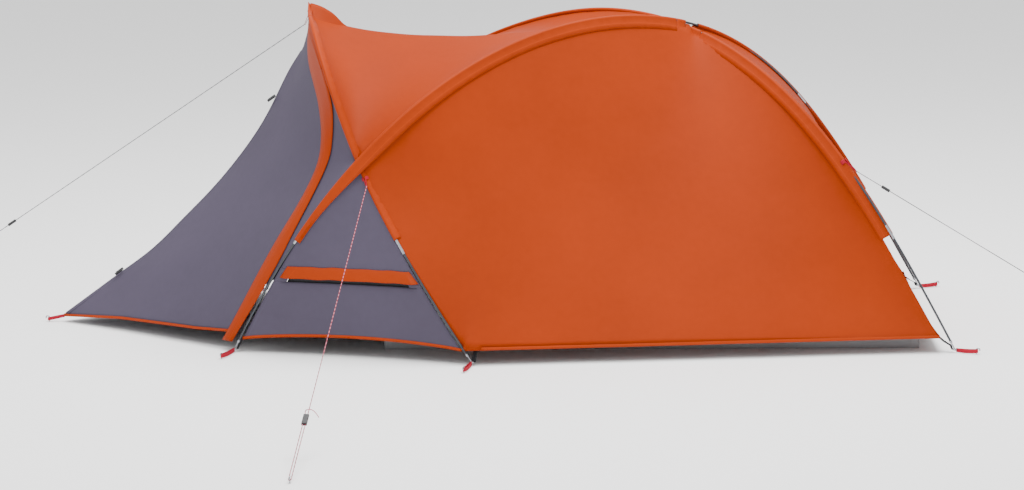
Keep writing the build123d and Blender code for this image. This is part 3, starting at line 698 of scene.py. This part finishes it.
def skirt_side(point):
    """Down the side panel that meets the pole at this point."""
    side = 1 if point[1] <= 0 else -1
    x = float(np.clip(point[0], -0.56, 1.59))
    low, high = side_point_pair(x, side)
    d = low - high
    return d * np.array([1, side, 1])


def skirt_front(point):
    share = float(ease((point[0] + 0.62) / 0.12))
    leg = unit(np.array([0.45, 0.30 * np.sign(point[1] or -1), -1.0]))
    return leg * (1 - share) + unit(skirt_side(point)) * share


def skirt_canopy(point):
    """Back from the hoop under the front canopy, or towards the side panel low down."""
    side = -1 if point[1] <= 0 else 1
    crown = 1 - float(ease(np.linalg.norm(point - HOOP[HALF]) / 0.34))
    shoulder = float(ease((point[2] - NEAR_CROSSING_Z) / 0.1))
    return unit(np.array([1.0 - 0.72 * crown, -0.12 * side * (1 - crown), -0.1 - 0.25 * shoulder - 0.65 * crown]))


length_a, length_b, length_h = (length_of(pole) for pole in (POLE_A, POLE_B, HOOP))
gap_start, gap_end = (
    (POLE_A[:, 0] >= x).argmax() / (len(POLE_A) - 1) * length_a for x in (SLEEVE_END_X, SLEEVE_END_X + 0.05)
)
hoop_end = length_h - HOOP_SLEEVE_START
for name, pole, start, end, skirt_to, skirt, horn, count in (
    ("sleeve_a_front", POLE_A, SLEEVE_START, gap_start, skirt_front, SLEEVE_SKIRT, 0.0, 220),
    ("sleeve_a_rear", POLE_A, gap_end, length_a - SLEEVE_START, skirt_side, SLEEVE_SKIRT, 0.0, 220),
    ("sleeve_b", POLE_B, SLEEVE_START, length_b - SLEEVE_START, skirt_front, SLEEVE_SKIRT, 0.0, 340),
    ("sleeve_hoop", HOOP, HOOP_SLEEVE_START, hoop_end, skirt_canopy, HOOP_SKIRT, HORN, 300),
):
    sleeve(f"{name}_cloth", pole, start, end, skirt_to, skirt, name, horn, count)


# --- Fly: vestibule ---------------------------------------------------------------------
RIDGE_CURVE = spline([(x, 0.0, z) for x, z in VESTIBULE_RIDGE], 400)


def ridge_point(z):
    return np.array([np.interp(z, RIDGE_CURVE[:, 2], RIDGE_CURVE[:, 0]), 0.0, z])


def pole_point(z):
    return at_z(POLE_A, z) if z < NEAR_CROSSING_Z else at_z(HOOP_NEAR_UP, z)


POLE_CHAIN = np.array([pole_point(round(float(z), 4)) for z in np.linspace(0.0, 1.215, 244)])


def chain_point(z):
    """Where the door's outer edge is at height z: on the front leg, then on the hoop."""
    return np.array([np.interp(z, POLE_CHAIN[:, 2], POLE_CHAIN[:, k]) for k in (0, 1)] + [z])


VESTIBULE_Z = np.linspace(0.02, 1.205, 90)
VESTIBULE_NET = relaxed(
    np.array([np.linspace(ridge_point(z), chain_point(z), 34) for z in VESTIBULE_Z]),
    1500,
)


def vestibule_point(z, share, lift=0.0):
    """Point on the near vestibule surface at height z, share of the way from ridge to poles."""
    share = min(max(share, 0.0), 1.0)
    height = (z - VESTIBULE_Z[0]) / (VESTIBULE_Z[-1] - VESTIBULE_Z[0])
    row = min(max(height * (len(VESTIBULE_Z) - 1), 0), len(VESTIBULE_Z) - 1.001)
    col = min(share * (VESTIBULE_NET.shape[1] - 1), VESTIBULE_NET.shape[1] - 1.001)
    i, j, a, b = int(row), int(col), row - int(row), col - int(col)
    n = VESTIBULE_NET
    point = (n[i, j] * (1 - a) + n[i + 1, j] * a) * (1 - b) + (n[i, j + 1] * (1 - a) + n[i + 1, j + 1] * a) * b
    up, across = n[i + 1, j] - n[i, j], n[i, j + 1] - n[i, j]
    return point + unit(np.cross(up, across)) * (-lift if np.cross(up, across)[1] > 0 else lift)


def hem_level(share):
    return table(DOOR_HEM, share)


def vestibule_panel(
    name, side, start, end, z_low, z_high, rows, cols, seed, lift=0.0, soft=0.003, puff=0.0, thick=CLOTH
):
    """A panel on the vestibule surface, between two edges given as shares at each height."""
    p = np.zeros((rows, cols, 3))
    for i, a in enumerate(np.linspace(0, 1, rows)):
        for j, b in enumerate(np.linspace(0, 1, cols)):
            z_ref = z_low + (z_high - z_low) * a
            share = start(z_ref) + (end(z_ref) - start(z_ref)) * b
            low = hem_level(share) if z_low < 0.035 else z_low
            z = low + (z_high - low) * a
            share = start(z) + (end(z) - start(z)) * b
            wave = soft * float(ripple(z, share * 0.4, 0.35, seed)) * math.sin(math.pi * b)
            p[i, j] = vestibule_point(z, share, lift + wave + puff * math.sin(math.pi * b))
    p[:, :, 1] *= side
    return grid(name, p, thick=thick), p


def ridge_share(z):
    return 0.003 / max(np.linalg.norm(chain_point(z) - ridge_point(z)), 0.02)


def inner_edge(z):
    return smooth_table(FLAP_INNER, z)


def outer_edge(z):
    return min(smooth_table(FLAP_OUTER, z), 0.985)


for side_name, side in SIDES:
    door, door_p = vestibule_panel(
        f"door_{side_name}_cloth",
        side,
        ridge_share,
        lambda z: inner_edge(z) + 0.01,
        0.03,
        DOOR_TOP,
        80,
        40,
        seed=53 + side,
        soft=0.006,
    )
    hem = hem_band(f"door_hem_{side_name}", door_p[0], np.array([0.0, -0.0012 * side, 0.0]), 0.009, body=None)
    for piece in (door, hem):
        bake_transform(piece)
    cloth(door, door_p, "grey", f"vestibule_door_{side_name}", body=None)

    flap, flap_p = vestibule_panel(
        f"zip_flap_{side_name}_cloth",
        side,
        inner_edge,
        outer_edge,
        0.036,
        1.165,
        110,
        9,
        seed=61,
        lift=0.005,
        soft=0.0012,
        puff=0.007,
        thick=0.0014,
    )
    cloth(flap, flap_p, "flap", f"zip_flap_{side_name}")

    name = f"vestibule_side_{side_name}"
    fixed, fixed_p = vestibule_panel(
        f"{name}_cloth", side, lambda z: outer_edge(z) - 0.03, lambda z: 0.995, 0.26, 1.17, 60, 12, seed=67, soft=0.002
    )
    cloth(fixed, fixed_p, "grey", name)

    tape, _ = vestibule_panel(
        f"zip_tape_{side_name}",
        side,
        inner_edge,
        lambda z: inner_edge(z) + 0.03,
        0.05,
        1.04,
        90,
        4,
        seed=71,
        lift=0.0015,
        soft=0.0,
        thick=0.0016,
    )
    paint(tape, "zip")
    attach(tape, "tent")


def ridge_tape_row(z):
    """The tape that joins the two doors, folded over the ridge at height z."""
    ridge = vestibule_point(z, 0, 0.002) * np.array([1, 0, 1])
    return [ridge + np.array([0.9 * abs(y), y, -0.35 * abs(y)]) for y in np.linspace(-0.012, 0.012, 5)]


tape = grid("ridge_tape", [ridge_tape_row(z) for z in np.linspace(0.034, 1.19, 90)], thick=0.0012)
paint(tape, "grey_tape")
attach(tape, "tent")

# The brow below the top of the hoop.
brow_rows = []
for k in np.linspace(-1, 1, 61):
    seam = HOOP[int(HALF + k * HALF * 0.30)] + np.array([-0.004, 0, -0.004])
    drop = 0.012 + 0.085 * (1 - abs(k)) ** 1.3
    brow_rows.append([seam + np.array([-0.006, 0, -drop]) * t for t in np.linspace(0, 1, 8)])
brow_p = np.array(brow_rows)
cloth(grid("brow_cloth", brow_p, thick=0.001), brow_p, "fly")

# Gusset behind the top of the hoop: a fold of cloth from the peak down to the canopy ridge.
gusset_rows = []
for t in np.linspace(0, 1, 26):
    x = -0.801 + 0.136 * t
    peak = float(np.mean([table(GUSSET_RIDGE, x + d) for d in np.linspace(-0.014, 0.014, 7)]))
    half = 0.010 + 0.060 * (1 - t)
    base = smooth_table(CANOPY_RIDGE, x) - 0.012 - 0.016 * (1 - t)
    rise = max(peak - base, 0.0)
    gusset_rows.append([(x, half * v, base + rise * (1 - abs(v)) ** 1.2) for v in np.linspace(-1, 1, 17)])
gusset_p = np.array(gusset_rows)
cloth(grid("gusset_cloth", gusset_p, thick=0.001), gusset_p, "fly")


# --- Fly: foot panels and vents ---------------------------------------------------------
def foot_point(z, share, side, lift=0.0):
    low, high = at_z(POLE_A, z), at_z(HOOP_NEAR_UP, z)
    run = high - low
    out = unit(np.array([run[1], -run[0], 0.0]))
    span = np.linalg.norm(run)
    hollow = 0.010 * math.sin(math.pi * min(max(share, 0), 1)) * min(1, span / 0.4)
    point = low + run * share + out * (lift - hollow)
    return point * np.array([1, side, 1])


def foot_panel(name, side, z0, z1, s0, s1, rows, cols, seed, lift=0.0, soft=0.003):
    """A panel between the front leg (share 0) and the hoop leg (share 1)."""
    p = np.zeros((rows, cols, 3))
    for i, a in enumerate(np.linspace(0, 1, rows)):
        for j, b in enumerate(np.linspace(0, 1, cols)):
            share = s0 + (s1 - s0) * b
            low = z0 if z0 > 0.1 else 0.046 + 0.028 * math.sin(math.pi * share) ** 0.6
            z = low + (z1 - low) * a
            fade = math.sin(math.pi * b) * (a * (1 - a) * 4) ** 0.5
            wave = soft * float(ripple(z, share * 0.5, 0.22, seed)) * fade
            p[i, j] = foot_point(z, share, side, lift + wave)
    return grid(name, p), p


def vent_flap_points(side):
    """The vent flap as a small awning: its lower edge stands off and its ends fold in."""
    rows, cols = 14, 64
    p = np.zeros((rows, cols, 3))
    for i, a in enumerate(np.linspace(0, 1, rows)):
        for j, b in enumerate(np.linspace(0, 1, cols)):
            fold = ease(min(b, 1 - b) * 0.45 / 0.018)
            share = (0.055 - 0.012 * (1 - a)) + (0.905 + 0.030 * (1 - a)) * b
            z = VENT_BOTTOM + (VENT_TOP - VENT_BOTTOM) * a + 0.002 * float(ripple(b * 0.45, 0, 0.12, 93))
            flutter = 0.002 * float(ripple(b * 0.45, a * 0.05, 0.06, 97)) * (1 - a)
            p[i, j] = foot_point(z, share, side, 0.0035 + (0.014 * (1 - a) ** 0.7) * fold + flutter)
    return p


for side_name, side in SIDES:
    name = f"foot_panel_{side_name}"
    lower, lower_p = foot_panel(f"{name}_low", side, 0.05, 0.274, 0.012, 0.985, 30, 46, 83 + side)
    upper, upper_p = foot_panel(f"{name}_top", side, 0.322, 0.690, 0.012, 0.985, 34, 40, 85 + side)
    for label, s0, s1 in (("front", 0.012, 0.10), ("back", 0.90, 0.985)):
        cheek, cheek_p = foot_panel(f"{name}_{label}", side, 0.2735, 0.3225, s0, s1, 6, 5, 87)
        cloth(cheek, cheek_p, "grey")
    hem = hem_band(f"foot_hem_{side_name}", lower_p[0], np.array([0.0, -0.0012 * side, 0.0]), 0.010)
    cloth(lower, lower_p, "grey", name)
    cloth(upper, upper_p, "grey")
    name = f"vent_mesh_{side_name}"
    net, net_p = foot_panel(f"{name}_cloth", side, 0.272, 0.324, 0.10, 0.90, 5, 30, 89, lift=-0.006, soft=0.001)
    cloth(net, net_p, "mesh", name)
    name = f"vent_flap_{side_name}"
    p = vent_flap_points(side)
    cloth(grid(f"{name}_cloth", p, thick=0.0012), p, "flap", name, body=name)


# --- Inner tent and groundsheet ---------------------------------------------------------
(floor_x0, floor_x1), floor_y, wall_z = FLOOR


def tray():
    """The bathtub floor as one cloth: the base turns up into its walls at a soft fold."""
    profile = []
    for t in np.linspace(0, 1, 7):
        profile.append((0.0, wall_z * (1 - t)))
    for a in np.linspace(0, 90, 5)[1:]:
        r = math.radians(a)
        profile.append((0.006 * (1 - math.cos(r)), 0.006 * (1 - math.sin(r)) - 0.006 + 0.0008))
    rows = []
    for inset, z in profile[:-1]:
        rows.append((inset, max(z, 0.0008)))
    for inset in np.linspace(0.006, floor_y - 0.01, 16):
        rows.append((float(inset), 0.0008))
    rings = []
    for inset, z in rows:
        x0, x1, y = floor_x0 + inset, floor_x1 - inset, floor_y - inset
        ring = []
        corners = [(x0, -y), (x1, -y), (x1, y), (x0, y)]
        for a, b, count in zip(corners, corners[1:] + corners[:1], (60, 36, 60, 36)):
            for t in np.linspace(0, 1, count, endpoint=False):
                px, py = a[0] + (b[0] - a[0]) * t, a[1] + (b[1] - a[1]) * t
                sway = 0.004 * float(ripple(px, py, 0.22, 101)) * (z / wall_z)
                ring.append((px + sway * 0.5, py * (1 - abs(sway)), z))
        rings.append(ring)
    return np.array(rings)


floor_p = tray()
floor = grid("groundsheet_cloth", floor_p, thick=0.0012, closed=True)
cloth(floor, closed_loop(floor_p), "floor", "groundsheet")

inner_x = np.linspace(INNER_SECTIONS[0][0] + 0.002, INNER_SECTIONS[-1][0], 60)
inner_rows = []
for x in inner_x:
    ys, zs, top = (table([(section[0], section[k]) for section in INNER_SECTIONS], x) for k in (1, 2, 3))
    line = []
    for v in np.linspace(-1, 1, 49):
        a = abs(v)
        if a > 0.35:
            t = (1 - a) / 0.65
            y, z = floor_y + (ys - floor_y) * t, wall_z + (zs - wall_z) * t
            y -= 0.016 * math.sin(math.pi * t)
        else:
            t = 1 - a / 0.35
            y, z = ys * (1 - t), zs + (top - zs) * t - 0.01 * math.sin(math.pi * t)
        sway = 0.004 * float(ripple(x, v * 0.6, 0.3, 107))
        line.append((x, math.copysign(max(y + sway * min(1, (1 - a) * 8), 0), v), z))
    inner_rows.append(line)
inner_p = np.array(inner_rows)
cloth(grid("inner_canopy_cloth", inner_p), inner_p, "inner", "inner_canopy")


def rounded_rect(y0, y1, z0, z1, r, count=48):
    pts = []
    for cy, cz, a0 in ((y1 - r, z1 - r, 0), (y0 + r, z1 - r, 90), (y0 + r, z0 + r, 180), (y1 - r, z0 + r, 270)):
        for a in np.linspace(a0, a0 + 90, count // 4):
            pts.append((cy + r * math.cos(math.radians(a)), cz + r * math.sin(math.radians(a))))
    return np.array(pts)


def wall_outline():
    """Outer edge of the inner front wall and the angle of each point about its centre."""
    first = inner_p[0]
    y = np.r_[first[:, 1], [0.4, 0.0, -0.4]]
    z = np.r_[first[:, 2], [wall_z, wall_z, wall_z]]
    pts = np.stack([y, z], 1)
    centre = np.array([0.0, 0.39])
    ang = np.arctan2(pts[:, 1] - centre[1], pts[:, 0] - centre[0])
    order = np.argsort(ang)
    return pts[order], ang[order], centre


door_y0, door_y1, door_z0, door_z1 = INNER_DOOR
opening = rounded_rect(door_y0 - DOOR_GAP, door_y1 + DOOR_GAP, door_z0 - DOOR_GAP, door_z1 + DOOR_GAP, 0.06)
outer_pts, outer_ang, centre = wall_outline()
door_ang = np.arctan2(opening[:, 1] - centre[1], opening[:, 0] - centre[0])
outer = np.stack([np.interp(door_ang, outer_ang, outer_pts[:, k], period=2 * math.pi) for k in (0, 1)], 1)
rings = []
for t in np.linspace(0, 1, 10):
    ring = opening + (outer - opening) * t
    rings.append([(INNER_FRONT_X + 0.003 * math.sin(math.pi * t), y, z) for y, z in ring])
front_p = np.array(rings)
front_wall = grid("inner_front_cloth", front_p, closed=True)
cloth(front_wall, closed_loop(front_p), "inner", "inner_front_wall")

door_edge = rounded_rect(*INNER_DOOR, 0.056)
middle = door_edge.mean(0)
rings = []
for t in np.linspace(0.02, 1, 12):
    ring = middle + (door_edge - middle) * t
    rings.append(
        [(INNER_FRONT_X + 0.004 * (1 - t * t) * (1 + 0.5 * float(ripple(y, z, 0.2, 109))), y, z) for y, z in ring]
    )
inner_door_p = np.array(rings)
inner_door = grid("inner_door_cloth", inner_door_p, closed=True)
cloth(inner_door, closed_loop(inner_door_p), "inner", "inner_door", body="inner_door")
zip_p = np.array([[(INNER_FRONT_X - 0.002, y, z) for y, z in middle + (opening - middle) * k] for k in (1.0, 1.025)])
inner_zip = grid("inner_zip", zip_p, thick=0.0016, closed=True)
paint(inner_zip, "zip")
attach(inner_zip, "tent")


# --- Webbing, loops and hangers ---------------------------------------------------------
def ribbon(name, path, across, width, finish, nodes=()):
    """A strap that follows a path, width wide along the across direction."""
    path = np.asarray(path, float)
    half = np.asarray(across, float) * width / 2
    p = np.stack([path + half * t for t in (-1, -0.5, 0, 0.5, 1)], 1)
    uv = np.zeros((len(path), 5, 2))
    uv[:, :, 0] = np.r_[0, np.cumsum(np.linalg.norm(np.diff(path, axis=0), axis=1))][:, None]
    uv[:, :, 1] = np.linspace(0, width, 5)[None]
    obj = grid(name, p, uv=uv, thick=0.0014)
    paint(obj, finish)
    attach(obj, "tent")
    if nodes:
        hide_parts(*nodes)
    return obj


def loop_path(start, end, half_gap, normal, count=40, sag=0.0):
    """A closed flat loop of strap from start round end and back."""
    start, end, normal = (np.asarray(v, float) for v in (start, end, normal))
    along = unit(end - start)
    span = np.linalg.norm(end - start)
    pts = []
    for t in np.linspace(0, 2 * math.pi, count):
        c, s = math.cos(t), math.sin(t)
        reach = span / 2 * (1 - np.sign(c) * abs(c) ** 0.55)
        share = reach / span
        drop = np.array([0, 0, -sag * math.sin(math.pi * share)])
        pts.append(start + along * reach + normal * half_gap * s * (0.35 + 0.65 * share) + drop)
    return np.array(pts)


FEET = {
    "front_near": (POLE_A, (-1.096, -0.716)),
    "front_far": (POLE_B, (-1.096, 0.716)),
    "rear_far": (POLE_A[::-1], (1.700, 0.670)),
    "rear_near": (POLE_B[::-1], (1.700, -0.670)),
    "hoop_near": (HOOP, (-0.189, -0.971)),
    "hoop_far": (HOOP[::-1], (-0.189, 0.971)),
}
STAKE = np.array([-1.850, 0.0, 0.0])
web_nodes = ("corner_webbing",)
loop_nodes = ("peg_loops",)
for label, (path, peg) in FEET.items():
    foot = path[0]
    up = unit(path[14] - path[0])
    ring = foot + up * (0.012 / up[2])
    inward = unit(np.array([0.25, 0, 0]) - np.array([foot[0], foot[1], 0]))
    side_way = np.cross(inward, [0, 0, 1])
    reach = 0.062 if label.startswith("rear") else 0.034
    hem_corner = ring + inward * reach + np.array([0, 0, 0.042])
    bends = ((0.010, 0), (0.016, 0.014), (0.7 * reach, 0.028))
    strap = [ring + inward * out + np.array([0, 0, rise]) for out, rise in bends]
    strap = even(np.array(strap + [hem_corner]), 10)
    ribbon(f"corner_web_{label}", strap, side_way, 0.018, "black_web", nodes=web_nodes)
    web_nodes = ()
    peg_at = np.array([peg[0], peg[1], 0.012])
    away = unit(peg_at * np.array([1, 1, 0]) - np.array([foot[0], foot[1], 0]))
    across = np.cross(away, [0, 0, 1])
    loop = loop_path(ring + away * 0.006 - np.array([0, 0, 0.002]), peg_at + away * 0.006, 0.007, across, sag=0.002)
    ribbon(f"peg_loop_{label}", loop, np.array([0, 0, 1.0]), 0.014, "red_web", nodes=loop_nodes)
    loop_nodes = ()
stake_loop = loop_path((-1.790, 0, 0.024), STAKE + np.array([-0.006, 0, 0.010]), 0.007, (0, 1, 0), sag=0.0)
ribbon("peg_loop_stake", stake_loop, np.array([0, 0, 1.0]), 0.012, "red_web")

hanger_z = {(0.100, 0.230): (0.998, 1.098), (0.100, -0.230): (0.998, 1.098), (0.560, 0.0): (1.030, 1.120)}
hanger_nodes = ("inner_hangers",)
for k, ((x, y), (z0, z1)) in enumerate(hanger_z.items()):
    strap = [(x, y, z) for z in np.linspace(z0, z1, 8)]
    ribbon(f"inner_hanger_{k}", strap, (1, 0, 0), 0.018, "hanger", nodes=hanger_nodes)
    hanger_nodes = ()


def wrap(name, path, spot, width, radius, tail, nodes=()):
    """A webbing band round a sleeve with a short tail along the line."""
    i = int(np.argmin(np.linalg.norm(path - np.asarray(spot), axis=1)))
    t = unit(path[min(i + 3, len(path) - 1)] - path[max(i - 3, 0)])
    tail = np.asarray(tail, float)
    d = unit((tail - path[i]) - t * np.dot(tail - path[i], t))
    n = np.cross(t, d)
    pts = []
    for a in np.linspace(18, 342, 30):
        r = math.radians(a)
        pts.append(path[i] + d * radius * math.cos(r) + n * radius * math.sin(r))
    pts = [tail] + pts + [tail - n * 0.003]
    ribbon(name, even(np.array(pts), 60), t, width, "red_web", nodes=nodes)


NEAR_TOP = np.array([-0.551, -0.672, 0.640])
NEAR_PEG = np.array([-0.678, -2.589, 0.010])
FRONT_TOP = np.array([-0.826, 0.0, 1.166])
FRONT_END = np.array([-2.052, 0.0, 0.349])
REAR_TOP = np.array([1.262, -0.486, 0.661])
REAR_END = np.array([1.905, -0.690, 0.288])
RETURN_SHARE = 0.8048
PEG_TURN = 0.0082
PEG_LEFT = NEAR_PEG - np.array([PEG_TURN, 0, 0])
NEAR_RETURN = NEAR_TOP + (NEAR_PEG - NEAR_TOP) * RETURN_SHARE - np.array([PEG_TURN, 0, 0])
TAIL = [(-0.001, 0.018, 0.014), (0.028, 0.014, 0.015), (0.044, 0.004, -0.010)]
TAIL_STEP = float(np.linalg.norm(TAIL[0]))
HOOK_GAP = 6 * 2 * CORD_R

wrap("guy_band_near", HOOP, at_z(HOOP_NEAR_UP, 0.662), 0.012, 0.0125, NEAR_TOP, nodes=("guy_bands",))
wrap("guy_band_rear", POLE_B, at_x(POLE_B, 1.222), 0.016, 0.0125, REAR_TOP)
wrap("guy_band_front", HOOP, HOOP[HALF], 0.012, 0.0125, FRONT_TOP)
end_nodes = ("guy_end_loops",)
for label, end, start in (("front", FRONT_END, FRONT_TOP), ("rear", REAR_END, REAR_TOP)):
    along = unit(end - start)
    side_way = unit(np.cross(along, [0, 0, 1.0]))
    loop = loop_path(end + along * 0.0005, end + along * 0.045, 0.006, np.cross(side_way, along))
    ribbon(f"guy_eye_{label}", loop, side_way, 0.010, "red_web", nodes=end_nodes)
    end_nodes = ()


# --- Guy lines --------------------------------------------------------------------------
def towards(start, end, distance):
    """The point at a distance from start on the run to end."""
    return start + unit(end - start) * distance


def cord_curve(name, route, node, finish):
    """A cord as one NURBS spline with the points of its route as control points."""
    data = bpy.data.curves.new(name, "CURVE")
    data.dimensions = "3D"
    line = data.splines.new("NURBS")
    line.points.add(len(route) - 1)
    for q, point in zip(line.points, route):
        q.co = (*point, 1)
    line.order_u = 3
    line.use_endpoint_u = True
    data.bevel_depth = CORD_R
    data.bevel_resolution = 3
    data.resolution_u = 16
    data.use_fill_caps = True
    obj = bpy.data.objects.new(name, data)
    bpy.context.scene.collection.objects.link(obj)
    paint(obj, finish)
    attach(obj, "tent")
    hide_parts(node)
    return obj


nodes = frame["nodes"]
NEAR_ROUTE = [
    NEAR_TOP,
    towards(NEAR_TOP, NEAR_PEG, HOOK_GAP),
    towards(NEAR_PEG, NEAR_TOP, PEG_TURN),
    NEAR_PEG,
    PEG_LEFT,
    towards(PEG_LEFT, NEAR_RETURN, PEG_TURN),
    towards(NEAR_RETURN, PEG_LEFT, TAIL_STEP),
    NEAR_RETURN,
] + [NEAR_RETURN + np.array(offset) for offset in TAIL]
near_cord = cord_curve("guyline_near_cord", NEAR_ROUTE, "guyline_near", "red_cord")
for label, top, end in (("front", FRONT_TOP, FRONT_END), ("rear", REAR_TOP, REAR_END)):
    route = [top, towards(top, end, HOOK_GAP), towards(end, top, HOOK_GAP), end]
    taut_cord = cord_curve(f"guyline_{label}_cord", route, f"guyline_{label}", "dark_cord")


# --- CAD nodes that show as they are ----------------------------------------------------
def dress(node, finish, smooth=True):
    """Gives a CAD node that stays visible its finish."""
    obj = nodes[node]
    obj.data.materials.clear()
    obj.data.materials.append(FINISHES[finish][0])
    if smooth:
        for poly in obj.data.polygons:
            poly.use_smooth = True


for name in nodes:
    if name.endswith("_ferrules"):
        dress(name, "ferrule")
    elif name.startswith(("pole_a", "pole_b")) or name in ("hoop_near_leg", "hoop_arch", "hoop_far_leg"):
        dress(name, "pole")
    elif name in ("foot_pins", "foot_rings", "corner_pegs", "guy_peg_near"):
        dress(name, "steel", smooth=name != "foot_pins")
    elif name.startswith(("guy_runner", "zip_slider")) or name == "door_toggles":
        dress(name, "plastic", smooth=False)


# --- Stage, light and camera ------------------------------------------------------------
bpy.ops.mesh.primitive_plane_add(size=60, location=(0, 10, -0.0006))
ground = bpy.context.object
ground.name = "ground"
ground_shader = Shader("ground")
ground_shader.set("Base Color", (0.93, 0.93, 0.93, 1))
ground_shader.set("Roughness", 0.9)
ground_shader.set("Specular IOR Level", 0.1)
ground.data.materials.append(ground_shader.material)

WORLD_STRENGTH, KEY_POWER, TOP_POWER = 1.25, 380, 640
world = bpy.data.worlds.new("studio")
bpy.context.scene.world = world
world.use_nodes = True
world.node_tree.nodes["Background"].inputs["Color"].default_value = (1, 1, 1, 1)
world.node_tree.nodes["Background"].inputs["Strength"].default_value = WORLD_STRENGTH


def area_light(name, location, target, size, power):
    data = bpy.data.lights.new(name, "AREA")
    data.shape = "RECTANGLE"
    data.size, data.size_y = size
    data.energy = power
    obj = bpy.data.objects.new(name, data)
    obj.location = location
    obj.rotation_euler = (Vector(target) - Vector(location)).to_track_quat("-Z", "Y").to_euler()
    bpy.context.scene.collection.objects.link(obj)


area_light("key", (-1.0, -4.0, 7.0), (0, 0, 0.5), (5, 3), KEY_POWER)
area_light("top", (0.8, 0.0, 6.5), (0.3, 0, 0.8), (4, 4), TOP_POWER)

CAMERA_AT = (0.207, -12.364, 2.479)
CAMERA_PITCH, CAMERA_TURN, CAMERA_ROLL = 10.0, 1.10, -0.39
CAMERA_LENS = 113.1
camera_data = bpy.data.cameras.new("main_camera")
camera_data.sensor_width = 36
camera_data.lens = CAMERA_LENS
camera = bpy.data.objects.new("main_camera", camera_data)
camera.matrix_world = (
    Matrix.Translation(CAMERA_AT)
    @ Matrix.Rotation(math.radians(CAMERA_TURN), 4, "Z")
    @ Matrix.Rotation(math.radians(90 - CAMERA_PITCH), 4, "X")
    @ Matrix.Rotation(math.radians(CAMERA_ROLL), 4, "Z")
)
bpy.context.scene.collection.objects.link(camera)
bpy.context.scene.camera = camera
